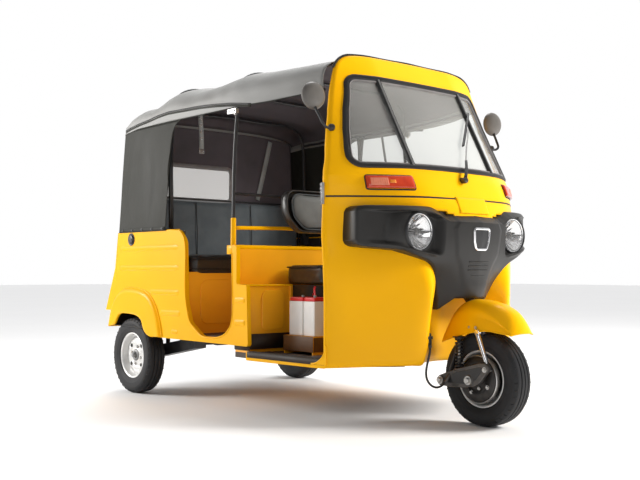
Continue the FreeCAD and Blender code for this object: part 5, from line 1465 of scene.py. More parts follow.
# fenders over the rear wheels: rounded shell with a deep side face
FO = [(1653, 327), (1672, 400), (1712, 480), (1780, 545), (1870, 574), (1970, 582), (2060, 574), (2136, 540), (2190, 480), (2218, 415), (2233, 357)]
FI = [(1741, 325), (1791, 338), (1824, 367), (1844, 405), (1882, 429), (1943, 441), (2033, 444), (2087, 437), (2116, 414), (2138, 386), (2165, 369)]
NT = 110
po, pi_ = through(FO, NT), through(FI, NT)
tO = chord(FO); tI = chord(FI)
po = csp(tO, np.array(FO, float), np.interp(np.linspace(0, 10, NT), range(11), tO))
pi_ = csp(tI, np.array(FI, float), np.interp(np.linspace(0, 10, NT), range(11), tI))
dv = pi_ - po
ln = np.linalg.norm(dv, axis=1)[:, None]
dv = dv / ln
R_ = 30.0
rowsF = []
for x in (505, 508, 540, 580, 650 - R_ - 4):
    rowsF.append(np.stack([np.full(NT, float(x)), po[:, 0], po[:, 1]], 1))
for k in range(1, 11):
    a = k / 10.0 * PI / 2
    q = po + dv * (R_ * (1 - math.cos(a)))
    rowsF.append(np.stack([np.full(NT, 650 - R_ + R_ * math.sin(a)), q[:, 0], q[:, 1]], 1))
for f in (0.25, 0.5, 0.75, 0.9, 1.0):
    q = po + dv * (R_ + (ln - R_) * f)
    rowsF.append(np.stack([np.full(NT, 650.0 - 1.2 * math.sin(PI * f)), q[:, 0], q[:, 1]], 1))
for dx_, ff in ((2.0, 2.6), (5.0, 3.6), (9.0, 2.6), (11.0, 0.0)):
    q = pi_ + dv * ff * 0.8
    rowsF.append(np.stack([np.full(NT, 650.0 - dx_), q[:, 0], q[:, 1]], 1))
RF = np.array(rowsF)
for s, nm in ((-1, "right"), (1, "left")):
    G = RF.copy()
    G[:, :, 0] *= s
    grid("rear_fender_shell_" + nm, G, YELLOW, thick=2.5, flip=(s > 0), offset=1.0, slot="body_yellow", replaces=("rear_fenders",))
    # yellow bead between body and fender, wider towards the front foot
    k0, k1 = 0, int(NT * 0.60)
    q = po[k0:k1]
    n_ = np.stack([np.gradient(q[:, 1]), -np.gradient(q[:, 0])], 1)
    n_ /= np.linalg.norm(n_, axis=1)[:, None]
    n_ *= -1
    rr = np.interp(np.linspace(0, 1, len(q)), [0, 0.25, 0.6, 1.0], [6.5, 5.0, 3.2, 1.8])
    q = q + n_ * (rr * 0.7)[:, None]
    p = np.stack([np.full(len(q), s * 640.5), q[:, 0], q[:, 1]], 1)
    tube("rear_fender_bead_" + nm, p, rr, YELLOW, 10, slot="body_yellow")
    # dark inner wheel arch
    ap = resample(outline([(1700, 366), (1712, 420), (1742, 484), (1798, 530), (1876, 556), (1970, 564), (2056, 556), (2120, 524), (2166, 470), (2190, 414), (2198, 370)], [0] + [60] * 9 + [0], 5), 60, False)
    arch_in = []
    for x in (420, 470, 505, 560, 600, 640 - 2):
        arch_in.append(np.stack([np.full(60, s * float(x)), [q[0] for q in ap], [q[1] for q in ap]], 1))
    grid("rear_wheel_arch_" + nm, np.array(arch_in), DARKSTEEL, thick=2.0, flip=(s < 0), slot="dark_steel")

# rear wall trim: a bead, louvres in the lid, a handle, lamp housings with lenses, plate bolts
rd = np.array([0, 2262 - 2158, 452 - 690.0])
rd /= np.linalg.norm(rd)
rn = np.array([0, -rd[2], rd[1]])
if rn[1] < 0:
    rn = -rn
l0 = np.array([0, 2158, 690.0])
parts = []
for k in range(5):
    c = l0 + rd * (62 + 26 * k) + rn * 4.0
    for sx in (-1, 1):
        xs_ = np.linspace(60, 300, 12) * sx
        p = np.stack([xs_, np.full(12, c[1]), np.full(12, c[2])], 1)
        parts.append(strip_data(p, np.broadcast_to(rn, p.shape), [(-8, -0.5), (-8, 0.2), (-2, 4.5), (5, 6.0), (8, 5.0), (8, -0.5)]))
V, F = merge(parts)
clean(obj("engine_lid_louvres", V, F, YELLOW, smooth=40, body="rear_lid", slot="body_yellow"))
c = l0 + rd * 196 + rn * 4.0
V, F = merge([tube_data([c + np.array([-36, 0, 0]) - rn * 1, c + np.array([-34, 0, 0]) + rn * 12, c + np.array([34, 0, 0]) + rn * 12, c + np.array([36, 0, 0]) - rn * 1], [5, 5, 5, 5], 12)])
clean(obj("engine_lid_handle", V, F, BLACKP, smooth=50, body="rear_lid", slot="dark_plastic"))
for s, nm in ((-1, "right"), (1, "left")):
    u1 = np.array([0, 2142.5, 790.0]); u2 = np.array([0, 2157.0, 682.0])
    du = (u2 - u1) / np.linalg.norm(u2 - u1)
    nu_ = np.array([0, -du[2], du[1]])
    nu_ = nu_ if nu_[1] > 0 else -nu_
    def quad_pts(xa, xb, za, zb, lift):
        L_ = np.linalg.norm(u2 - u1)
        o_ = outline([(xa, za), (xb, za), (xb, zb), (xa, zb)], 10, 6)[:-1]
        return [np.array([s * x, 0, 0]) + u1 + du * z + nu_ * lift for x, z in o_]
    prism("tail_lamp_housing_" + nm, quad_pts(450, 580, 6, 100, 1), nu_ * 16, BLACKP, 3, 3, slot="dark_plastic", replaces=("tail_lamps",))
    prism("tail_lamp_lens_low_" + nm, quad_pts(456, 574, 42, 95, 15), nu_ * 9, TAIL_RED, 3.5, 3, slot="tail_lens")
    prism("tail_lamp_lens_top_" + nm, quad_pts(456, 574, 11, 39, 15), nu_ * 9, TAIL_AMBER, 3.5, 3, slot="tail_lens")
for z, nm in ((868, "top"),):
    yy_ = 2128 + (888 - z) * 30 / 198.0
    p = np.stack([np.linspace(-600, 600, 40), np.full(40, yy_), np.full(40, float(z))], 1)
    strip("rear_wall_bead_" + nm, p, np.broadcast_to([0, 1.0, 0.15], p.shape), half_round(14, 4, 7, 2), YELLOW, slot="body_yellow")
bolts("number_plate_bolts", [((x, 2128 + (888 - 790) * 30 / 198.0 + 3.2, 790), (0, 1, 0.15), 5, 2.5) for x in (-75, 75)], STEEL, slot="bare_steel")

# =====================================================================================================
# cab: sills, floor mats, seat box, batteries, bulkhead and door straps
# =====================================================================================================
for s, nm in ((-1, "right"), (1, "left")):
    q = outline([(590, 392), (614, 376), (622, 430), (644, 905), (612, 905)], [4, 6, 30, 6, 6], 6)
    prism("sill_skin_" + nm, [(s * x, y, 258) for x, y in q], (0, 0, 40), YELLOW, 8, 4, slot="body_yellow", replaces=("sills",))
    # rolled edge of the apron towards the cab opening
    zz = np.linspace(262, 984, 70)
    ex = lerp_table(zz, [(z, max(abs(c[0]) for c in APRON[int(z)])) for z in sorted(APRON)])
    ey = lerp_table(zz, [(z, APRON[int(z)][-1][1]) for z in sorted(APRON)])
    p = np.stack([s * (ex - 7), ey + 11, zz], 1)
    tube("apron_edge_roll_" + nm, p, 9.0, YELLOW, 12, slot="body_yellow")
# dark ribbed mats
def mat_piece(name, x0, x1, y0, y1, z, ribs=18, h=4.0, cut=None):
    parts = [box_data(x0, x1, y0, y1, z - 1, z + h * 0.5)]
    w = (x1 - x0) / ribs
    for k in range(ribs):
        xa = x0 + w * (k + 0.22)
        parts.append(box_data(xa, xa + w * 0.56, y0 + 8, y1 - 8, z + h * 0.4, z + h))
    V, F = merge(parts)
    return bevel(obj(name, V, F, FLOOR, smooth=30, slot="floor"), 0.8, 1)


for s, nm in ((-1, "right"), (1, "left")):
    mat_piece("cab_mat_" + nm, *sorted((s * 136.0, s * 560.0)), 372, 598, 290, 22)
    mat_piece("cab_mat_back_" + nm, *sorted((s * 500.0, s * 604.0)), 604, 912, 290, 6)
mat_piece("cab_mat_tunnel", -128, 128, 356, 698, 336, 10)
mat_piece("passenger_mat", -606, 606, 1056, 1434, 350, 52)
# pressed panels on the seat box
for s, nm in ((-1, "right"), (1, "left")):
    q = resample(outline([(405, 396), (540, 396), (540, 560), (520, 586), (430, 586), (405, 560)], [24, 24, 30, 30, 30, 30], 8), 70, True)
    prism("seat_box_pressing_" + nm, [(s * x, 920.5, z) for x, z in q], (0, -7.0, 0), YELLOW_IN, 4.0, 4, slot="body_yellow")
    prism("seat_box_corner_" + nm, [(s * x, y, 292) for x, y in outline([(350, 926), (352, 914), (368, 912), (368, 926)], 2, 3)], (0, 0, 316), YELLOW_IN, 1.5, 2, slot="body_yellow")
    prism("seat_box_top_flange_" + nm, [(s * x, y, 603) for x, y in outline([(350, 1028), (350, 912), (616, 912), (616, 1028)], 8, 4)], (0, 0, 8), YELLOW, 3, 3, slot="body_yellow")
q = resample(outline([(-250, 330), (250, 330), (250, 590), (-250, 590)], 34, 8), 90, True)
prism("seat_box_pressing_front", [(x, 705.5, z) for x, z in q], (0, -6.0, 0), YELLOW_IN, 4.0, 4, slot="body_yellow")
for k, (ya, yb) in enumerate(((613, 692), (700, 796))):
    nm = ("front", "back")[k]
    prism("battery_case_" + nm, [(x, y, 377) for x, y in outline([(-470, ya), (-356, ya), (-356, yb), (-470, yb)], 4, 4)], (0, 0, 158), WHITE, 2.0, 3, slot="battery_white", replaces=("batteries",))
    prism("battery_lid_" + nm, [(x, y, 535.5) for x, y in outline([(-468, ya + 2), (-358, ya + 2), (-358, yb - 2), (-468, yb - 2)], 5, 4)], (0, 0, 18), RED, 3.5, 4, slot="battery_white")
    V, F = merge([lathe_data([(0, 0), (0, 7), (10, 7), (12, 5), (12, 0)], (-452 + 70 * j, ya + 16, 552), (0, 0, 1), 20) for j in range(2)])
    clean(obj("battery_posts_" + nm, V, F, CAST, smooth=40, slot="bare_steel"))
tube("battery_cable", through([(-452, 629, 560), (-440, 650, 590), (-400, 690, 600), (-372, 740, 560)], 30), 4.0, RED, 10, slot="battery_white")
prism("bulkhead_top_roll", [(-617, y, z) for y, z in resample(outline([(1027, 780), (1027, 801), (1055, 801), (1055, 780)], 8, 6), 40, True)], (1234, 0, 0), YELLOW, 0, slot="body_yellow")
for s, nm in ((-1, "right"), (1, "left")):
    q = resample(outline([(40, 400), (560, 400), (560, 640), (40, 640)], 40, 8), 90, True)
    prism("bulkhead_pressing_" + nm, [(s * x, 1052, z) for x, z in q], (0, 5.0, 0), YELLOW_IN, 4.0, 3, slot="body_yellow")
q = resample(outline([(-540, 400), (540, 400), (540, 630), (-540, 630)], 40, 8), 90, True)
prism("seat_box_pressing_rear", [(x, 1440.5, z) for x, z in q], (0, -5.0, 0), YELLOW_IN, 3.5, 3, slot="body_yellow")
# hinge plate on the pillar by the door opening
V, F = strip_data(np.array([(-626.0, 384, z) for z in np.linspace(962, 1054, 20)]), np.array([(-0.85, 0.5, 0.0)] * 20), flat_bar(26, 3.0, 1.0, 8))
clean(obj("door_strap_plate", V, F, STEEL, smooth=40, slot="bare_steel"))
bolts("door_strap_bolts", [((-628.5, 385.5, z), (-0.85, 0.5, 0), 5.5, 3.5) for z in (972, 992, 1012, 1030, 1046)], CHROME, slot="bare_steel")
V, F = strip_data(np.array([(626.0, 384, z) for z in np.linspace(962, 1054, 20)]), np.array([(0.85, 0.5, 0.0)] * 20), flat_bar(26, 3.0, 1.0, 8))
clean(obj("door_strap_plate_left", V, F, STEEL, smooth=40, slot="bare_steel"))
bolts("door_strap_bolts_left", [((628.5, 385.5, z), (0.85, 0.5, 0), 5.5, 3.5) for z in (972, 992, 1012, 1030, 1046)], CHROME, slot="bare_steel")

# =====================================================================================================
# canopy: roof sheet over the hoops, side sheets, back sheet with the soft window
# =====================================================================================================
ROOFV = [  # y, crown, half width, eave, roundness
    (514, 1660, 507, 1519, 3.4), (590, 1663, 527, 1514, 3.35), (673, 1663, 548, 1509, 3.3), (818, 1670, 577, 1501, 3.1), (900, 1672, 589, 1500, 3.05),
    (965, 1678, 598, 1500, 3.0), (1067, 1690, 610, 1499, 2.9), (1160, 1678, 612, 1499, 2.9), (1250, 1662, 614, 1499, 2.9), (1350, 1657, 615, 1499, 2.9),
    (1444, 1660, 615, 1499, 2.9), (1510, 1671, 616, 1499, 2.9), (1570, 1683, 616, 1499, 2.9), (1640, 1690, 616, 1499, 2.9), (1700, 1672, 616, 1499, 2.9),
    (1759, 1640, 615, 1499, 2.9), (1830, 1612, 614, 1498, 2.8), (1895, 1612, 612, 1497, 2.8), (1960, 1622, 610, 1495, 2.8), (2010, 1610, 608, 1492, 2.75),
    (2060, 1588, 606, 1488, 2.7), (2116, 1530, 602, 1480, 2.7)]
VAL_LOW = [(514, 1489), (545, 1485), (648, 1475), (812, 1467), (949, 1467), (1106, 1464), (1232, 1463), (1501, 1463), (1700, 1463), (1960, 1461), (2116, 1446)]
PIPE_Z = [(934, 1471), (1102, 1492), (1228, 1503), (1360, 1511), (1497, 1514), (1640, 1518), (1744, 1511), (1835, 1500), (1937, 1492), (2060, 1478), (2108, 1470)]


def roof_params(y):
    return [lerp_table(y, [(r[0], r[k]) for r in ROOFV]) for k in (1, 2, 3, 4)]


def roof_pt(y, a):
    """Point of the roof section at y; a from -1 to 1 goes from the right eave over the crown to the left."""
    crown, w, eave, n = roof_params(y)
    t = abs(a) * math.pi / 2
    x = w * abs(math.sin(t)) ** (2 / n)
    z = eave + (crown - eave) * abs(math.cos(t)) ** (2 / n)
    return x if a > 0 else -x, z


def band_x(y, z):
    crown, w, eave, n = roof_params(y)
    if z >= eave:
        q = min(1.0, (z - eave) / (crown - eave))
        return w * (1 - q ** n) ** (1 / n)
    return w + (eave - z) * 0.05


ry_ = [514 + (2116 - 514) * k / 88 for k in range(89)]
rng6 = np.random.RandomState(11)
creases = [(rng6.uniform(560, 2050), rng6.uniform(-0.7, 0.7), rng6.uniform(50, 150), rng6.uniform(0.05, 0.2), rng6.uniform(-1.8, 1.8)) for _ in range(30)]
G = []
for y in ry_:
    row = []
    sect = []
    na = 60
    for k in range(na + 1):
        a = -1 + 2 * k / na
        a = math.copysign(abs(a) ** 0.86, a)
        x, z = roof_pt(y, a)
        soft = 0.0
        for cy, ca, sy, sa, h in creases:
            soft += h * math.exp(-((y - cy) / sy) ** 2 - ((a - ca) / sa) ** 2)
        # the cloth hangs a little between the bows and pulls into soft folds above the eaves
        fold = 2.2 * math.exp(-((abs(a) - 0.86) / 0.10) ** 2) * math.sin(y / 31.0 + 2.1 * math.sin(y / 170.0))
        n = np.array([math.copysign(abs(a), a) * 0.9, 0, 1 - abs(a) * 0.75])
        n = n / np.linalg.norm(n)
        sect.append((x + n[0] * (soft * 0.6 + fold * 0.7), y, z + n[2] * (soft + fold * 0.5)))
    low = lerp_table(y, VAL_LOW)
    crown, w, eave, nn = roof_params(y)
    down = [(1, (w + (eave - low) * 0.05 * q + 1.4 * math.sin(y / 47.0 + q), y, eave + (low - eave) * q)) for q in (0.33, 0.66, 1.0)]
    left = [p for s, p in down]
    right = [(-p[0], p[1], p[2]) for p in reversed(left)]
    G.append(right + sect + left)
roof = grid("hood_roof", G, CAN_ROOF, thick=3.0, offset=-1, replaces=("canopy",), mats=[CAN_ROOF, LINING])
G = []
for y in ry_[1:-1]:
    row = []
    for k in range(41):
        a = -1 + 2 * k / 40
        x, z = roof_pt(y, a * 0.985)
        sag = 3.0 * math.sin((y - 514) / 1602 * math.pi * 3) ** 2 * (1 - abs(a)) ** 0.5
        k_ = 1 - 9.0 / max(1.0, math.hypot(x, 620))
        row.append((x * (1 - 9 / 620.0), y, z - 9 - sag))
    G.append(row)
lining = grid("hood_lining_sheet", G, LINING, thick=1.5)
tubes("hood_eave_hem", [([(sx * (band_x(y, lerp_table(y, VAL_LOW)) + 1), y, lerp_table(y, VAL_LOW) + 1) for y in ry_[:: 2]], 2.6) for sx in (-1, 1)], CAN_SIDE, 8)
# piping that starts at the eave, climbs over the entry and runs back as the edge of the side sheet
py_ = [934 + (2108 - 934) * k / 60 for k in range(61)]
tubes("hood_side_piping", [([(sx * (band_x(y, lerp_table(y, PIPE_Z)) + 2.2), y, lerp_table(y, PIPE_Z)) for y in py_], 3.2) for sx in (-1, 1)], PIPING, 8)
for sx in (-1, 1):
    V, F = strip_data([(sx * (band_x(y, lerp_table(y, PIPE_Z) - 9) + 1.0), y, lerp_table(y, PIPE_Z) - 9) for y in py_], [(sx, 0, 0.15)] * len(py_),
                      [(-7, 0), (-6, 1.6), (6, 1.6), (7, 0)])
    obj("hood_piping_flange_%s" % ("l" if sx > 0 else "r"), V, F, CAN_SIDE)
# lower strip of the side sheet, in the roof cloth, below the piping
for sx, tag in ((1, "left"), (-1, "right")):
    G = []
    for y in py_:
        zt = lerp_table(y, PIPE_Z) - 1
        zb = lerp_table(y, VAL_LOW) - (0.5 if y < 1500 else 0)
        G.append([(sx * (band_x(y, zt + (zb - zt) * q) + 2.2), y, zt + (zb - zt) * q) for q in (0, 0.25, 0.5, 0.75, 1.0)])
    st = grid("hood_side_band_" + tag, G, CAN_ROOF, thick=1.6, flip=sx < 0)

# side sheets behind the entries, with a rounded upper front corner and soft vertical folds
FRONT_E = [(890, 1618), (1143, 1611), (1337, 1599), (1400, 1588), (1432, 1570), (1452, 1545), (1462, 1510)]   # z, y
for sx, tag in ((1, "left"), (-1, "right")):
    G = []
    nz_, ny_ = 46, 56
    for j in range(nz_ + 1):
        z = 886 + (1462 - 886) * j / nz_
        yf = lerp_table(z, FRONT_E)
        row = []
        for i in range(ny_ + 1):
            f = i / ny_
            y = yf + (2115 - yf) * f
            xl = 645.0 + (640.0 - 645.0) * (y - 1556) / 562.0
            xt = band_x(y, 1466) + 1.0
            q = (z - 886) / (1466 - 886)
            x = xl + (xt - xl) * q
            # folds hang from the eave and fade at the tensioned lower edge
            amp = 4.2 * math.sin(math.pi * min(1, max(0, q))) ** 0.8 * min(1, f * 5 + 0.1) * min(1, (1 - f) * 6)
            ph = y / 38.0 + 0.9 * math.sin(y / 115.0 + z / 210.0) + (0.35 if sx > 0 else 0)
            fold = amp * (0.62 * math.sin(ph) + 0.38 * math.sin(2.3 * ph + z / 160.0))
            bow = 5.0 * math.exp(-((y - 1640) / 40.0) ** 2) * math.exp(-((z - 1380) / 150.0) ** 2)
            row.append((sx * (x + fold - 2.0 + bow * 0.4), y, z))
        G.append(row)
    cu_ = grid("hood_side_sheet_" + tag, G, CAN_SIDE, thick=2.2, flip=sx > 0, replaces=("canopy",))
    hem = [(sx * (645.0 - 0.4), 1618, 890)] + [(sx * (645.0 + (band_x(y, 1466) + 1.0 - 645.0) * (z - 886) / 580 - 0.5), y, z) for z, y in FRONT_E]
    tube("hood_front_hem_" + tag, through(hem, 40, False), 2.6, CAN_SIDE, 8)
    # hem strip with buttons along the body's top edge
    V, F = strip_data([(sx * (645.2 + (640.0 - 645.0) * (y - 1556) / 562.0), y, 898) for y in [1624 + 482 * k / 20 for k in range(21)]], [(sx, 0, 0)] * 21, [(-9, 0), (-8, 1.4), (8, 1.4), (9, 0)])
    obj("hood_bottom_hem_" + tag, V, F, CAN_SIDE)
    bolts("hood_buttons_" + tag, [((sx * (646.6 + (640.0 - 645.0) * (y - 1556) / 562.0), y, 898), (sx, 0, 0), 5.5, 3.0) for y in [1650 + 105 * k for k in range(5)]], DARKSTEEL)

# back sheet with the window
WV = [(-430, 1100), (130, 1100), (130, 1302), (-430, 1302)]


def back_half(z):
    return lerp_table(z, [(886, 640), (1450, 604), (1480, 601)])


G = []
def top_z(x):
    return 1480 + 50.0 * max(0.0, 1 - min(1.0, abs(x) / 602.0) ** 2.7) ** (1 / 2.7)


for j in range(45):
    row = []
    for i in range(61):
        u = -1 + 2 * i / 60
        if j <= 40:
            z = 886 + (1480 - 886) * j / 40
            x = u * back_half(z)
        else:
            x = u * 601.0
            z = 1480 + (top_z(x) - 1480) * (j - 40) / 4
        q = min(1.0, (z - 886) / 600)
        fold = 2.6 * math.sin(math.pi * q) * (1 - 0.9 * smooth01(1 - abs(x + 150) / 420.0)) * math.sin(x / 34.0 + 0.8 * math.sin(z / 90.0))
        row.append((x, 2114.5 + fold * (0 if z > 1480 else 1), z))
    G.append(row)
nv, nu = len(G), len(G[0])
V = [p for r in G for p in r]
F = []
for j in range(nv - 1):
    for i in range(nu - 1):
        q4 = [j * nu + i, j * nu + i + 1, (j + 1) * nu + i + 1, (j + 1) * nu + i]
        cx = sum(V[k][0] for k in q4) / 4
        cz = sum(V[k][2] for k in q4) / 4
        if -430 + 10 < cx < 130 - 10 and 1100 + 7 < cz < 1302 - 7:
            continue
        F.append(q4)
bk = obj("hood_back_sheet", V, F, LINING, replaces=("canopy",), mats=[LINING, CAN_SIDE])
sol = bk.modifiers.new("thick", "SOLIDIFY")
sol.thickness = 0.0022
sol.offset = -1
sol.material_offset = 1
wo = outline(WV, [26] * 4, 8)
tubes("hood_window_welt", [([(x, 2114.0, z) for x, z in wo], 3.4)], PIPING, 8)
wf = resample([(x, 2112.0, z) for x, z in wo], 64, True)
V, F = strip_data([tuple(p) for p in wf], [(0, -1, 0)] * len(wf), [(-13, 0), (-12, 1.6), (12, 1.6), (13, 0)], True)
obj("hood_window_border_in", V, F, LIPGREY)
wf = resample([(x, 2117.0, z) for x, z in wo], 64, True)
V, F = strip_data([tuple(p) for p in wf], [(0, 1, 0)] * len(wf), [(-13, 0), (-12, 1.6), (12, 1.6), (13, 0)], True)
obj("hood_window_border_out", V, F, CAN_SIDE)
G = []
for j in range(13):
    z = 1102 + 198 * j / 12
    G.append([(-428 + 556 * i / 24, 2115.0 + 1.6 * math.sin((-428 + 556 * i / 24) / 70.0 + z / 130.0), z) for i in range(25)])
win = grid("hood_window_sheet", G, WINDOW, thick=1.0, replaces=("rear_window",))
# faint webbing straps on the inside of the back sheet
for x0, x1 in ((430, 330), (-500, -500)):
    V, F = strip_data([(x0 + (x1 - x0) * k / 10, 2108.0 - 3 * math.sin(math.pi * k / 10), 1500 - 376 * k / 10) for k in range(11)], [(0, -1, 0)] * 11, [(-17, 0), (-16, 1.2), (16, 1.2), (17, 0)])
    ws = obj("hood_webbing_%d" % (0 if x0 > 0 else 1), V, F, VGREY)

# =====================================================================================================
# seats: padded pieces swollen by a cloth simulation, piping and channels laid on afterwards
# =====================================================================================================
def swell(o, voxel, cap, pin, pressure=4.0):
    """Remesh, inflate with cloth pressure for 20 frames, cap the movement and write the result to the mesh."""
    rm = o.modifiers.new("remesh", "REMESH")
    rm.mode = "VOXEL"
    rm.voxel_size = voxel / 1000.0
    dg = bpy.context.evaluated_depsgraph_get()
    me = bpy.data.meshes.new_from_object(o.evaluated_get(dg), depsgraph=dg)
    o.modifiers.remove(rm)
    old = o.data
    for m in old.materials:
        if m.name not in [q.name for q in me.materials if q]:
            me.materials.append(m)
    o.data = me
    me.polygons.foreach_set("use_smooth", [True] * len(me.polygons))
    n = len(me.vertices)
    start = np.empty(n * 3)
    me.vertices.foreach_get("co", start)
    start = start.reshape(-1, 3)
    vg = o.vertex_groups.new(name="held")
    held = [i for i in range(n) if pin(start[i])]
    vg.add(held, 1.0, "REPLACE")
    cl = o.modifiers.new("swell", "CLOTH")
    st = cl.settings
    st.quality = 4
    st.mass = 0.25
    st.tension_stiffness = 12
    st.compression_stiffness = 12
    st.shear_stiffness = 4
    st.bending_stiffness = 0.6
    st.use_pressure = True
    st.uniform_pressure_force = pressure
    st.effector_weights.gravity = 0.0
    st.vertex_group_mass = "held"
    cl.point_cache.frame_start = 1
    cl.point_cache.frame_end = 20
    sc = bpy.context.scene
    for f in range(1, 21):
        sc.frame_set(f)
    dg = bpy.context.evaluated_depsgraph_get()
    ev = o.evaluated_get(dg).data
    end = np.empty(n * 3)
    ev.vertices.foreach_get("co", end)
    end = end.reshape(-1, 3)
    o.modifiers.remove(cl)
    o.vertex_groups.remove(vg)
    sc.frame_set(1)
    d = end - start
    ln = np.linalg.norm(d, axis=1)
    k = np.where(ln > cap / 1000.0, cap / 1000.0 / np.maximum(ln, 1e-9), 1.0)
    new = start + d * k[:, None]
    # the last few per cent of unevenness is taken out by two passes of averaging
    ed = np.empty(len(me.edges) * 2, dtype=np.int64)
    me.edges.foreach_get("vertices", ed)
    ed = ed.reshape(-1, 2)
    for _ in range(2):
        acc = np.zeros_like(new)
        cnt = np.zeros(n)
        np.add.at(acc, ed[:, 0], new[ed[:, 1]])
        np.add.at(acc, ed[:, 1], new[ed[:, 0]])
        np.add.at(cnt, ed[:, 0], 1)
        np.add.at(cnt, ed[:, 1], 1)
        new = 0.5 * new + 0.5 * acc / cnt[:, None]
    me.vertices.foreach_set("co", new.reshape(-1))
    me.update()
    subsurf(o, 1)
    return o


def pad_data(outl, dirv, th, r, n=64, rings=5):
    """Closed pad: a rounded outline (n points) pushed along dirv by th with rolled edges of radius r."""
    P0 = resample(outl, n, True)
    c = P0.mean(0)
    d = np.asarray(dirv, float)
    d = d / np.linalg.norm(d)
    loops = []
    prof = [(r * (1 - math.cos(t)), r * (1 - math.sin(t))) for t in [0.5 * PI * k / rings for k in range(rings + 1)]]
    # prof: (height from face, inset)
    seq = [(h, i) for h, i in prof] + [(th - h, i) for h, i in reversed(prof)]
    for h, ins in seq:
        L = []
        for p in P0:
            v = c - p
            L.append(p + v / np.linalg.norm(v) * ins + d * h)
        loops.append(np.array(L))
    V, F = [], []
    for L in loops:
        V += [tuple(p) for p in L]
    m = len(loops)
    for j in range(m - 1):
        for i in range(n):
            F.append((j * n + i, j * n + (i + 1) % n, (j + 1) * n + (i + 1) % n, (j + 1) * n + i))
    F.append(tuple(range(n))[::-1])
    F.append(tuple(range((m - 1) * n, m * n)))
    return V, F


def fix(o):
    bm = bmesh.new()
    bm.from_mesh(o.data)
    bmesh.ops.recalc_face_normals(bm, faces=bm.faces)
    bm.to_mesh(o.data)
    bm.free()
    return o


def model(y):
    return (y + FA) / 1000.0


# driver's cushion
oc = outline([(-336, 698, 612), (336, 698, 612), (336, 1004, 612), (-336, 1004, 612)], 34, 6)
V, F = pad_data(oc, (0, 0, 1), 86, 12)
dc = fix(obj("driver_cushion_pad", V, F, VBLACK, replaces=("driver_cushion",)))
swell(dc, 9.0, 7.0, lambda c: c[2] < 0.6145)
pl_ = resample(outline([(-335, 699, 694), (335, 699, 694), (335, 1003, 694), (-335, 1003, 694)], 34, 6), 90, True)
tubes("driver_cushion_piping", [(np.vstack([pl_, pl_[:1]]), 3.6)], PIPING, 8)
# driver's backrest: a dark shell with a light panel set in it
ob = outline([(-342, 1019, 1074), (342, 1019, 1074), (342, 1012, 950), (262, 1007, 872), (-262, 1007, 872), (-342, 1012, 950)], [46, 46, 90, 70, 70, 90], 8)
sh = resample(ob, 96, True)
V, F = strip_data([tuple(p + np.array([0, -22, 0])) for p in sh], [tuple(v) for v in [(p - sh.mean(0)) / np.linalg.norm(p - sh.mean(0)) for p in sh]], flat_bar(48, 5, 2, 2), True)
fix(obj("driver_backrest_shell_rim", V, F, VBLACK))
prism("driver_backrest_shell", [tuple(p + np.array([0, -6, 0])) for p in resample(ob, 96, True)], (0, 8, 0), VBLACK, 2.5, 2)
of_ = outline([(-318, 1004, 1060), (318, 1004, 1060), (302, 996, 944), (240, 988, 884), (-240, 988, 884), (-302, 996, 944)], [46, 46, 80, 60, 60, 80], 8)
V, F = pad_data(of_, (0, -1, 0), 34, 11)
db = fix(obj("driver_backrest_pad", V, F, VDRIVER, replaces=("driver_backrest",)))
swell(db, 8.0, 6.0, lambda c: c[1] > model(990 + (c[2] * 1000 - 884) * 0.09))
pq = resample(of_, 90, True)
tubes("driver_backrest_piping", [(np.vstack([pq, pq[:1]]) + np.array([0, -27, 0]), 3.4)], VBLUE, 8)

# passenger cushion in one piece, with piping round it at two heights
oc = outline([(-596, 1434, 654), (596, 1434, 654), (596, 1978, 654), (-596, 1978, 654)], 36, 6)
V, F = pad_data(oc, (0, 0, 1), 100, 22)
pc = fix(obj("passenger_cushion_pad", V, F, VBLACK, replaces=("passenger_cushion",)))
swell(pc, 14.0, 8.0, lambda c: c[2] < 0.672)
for zz_, rr_ in ((744, 4.0), (684, 3.6)):
    pl_ = resample(outline([(-598, 1431, zz_), (598, 1431, zz_), (598, 1981, zz_), (-598, 1981, zz_)], 36, 6), 110, True)
    tubes("passenger_cushion_piping_%d" % zz_, [(np.vstack([pl_, pl_[:1]]), rr_)], PIPING, 8)
# passenger backrest, three panels divided by sewn seams
ob = outline([(-590, 2016, 1097), (590, 2016, 1097), (590, 1998, 690), (-590, 1998, 690)], [50, 50, 26, 26], 8)
V, F = pad_data(ob, (0, 1, 0), 72, 20)
pb_ = fix(obj("passenger_backrest_pad", V, F, VBLUE, replaces=("passenger_backrest",)))
swell(pb_, 14.0, 8.0, lambda c: c[1] > model(2062))
pq = resample(ob, 110, True)
tubes("passenger_backrest_piping", [(np.vstack([pq, pq[:1]]) + np.array([0, 10, 0]), 4.0)], PIPING, 8)
for x in (-198, 198):
    tubes("passenger_backrest_seam_%s" % ("r" if x < 0 else "l"), [([(x, lerp_table(z, [(690, 1989), (900, 1990), (1097, 2006)]), z) for z in np.linspace(716, 1080, 14)], 2.2)], PIPING, 6)

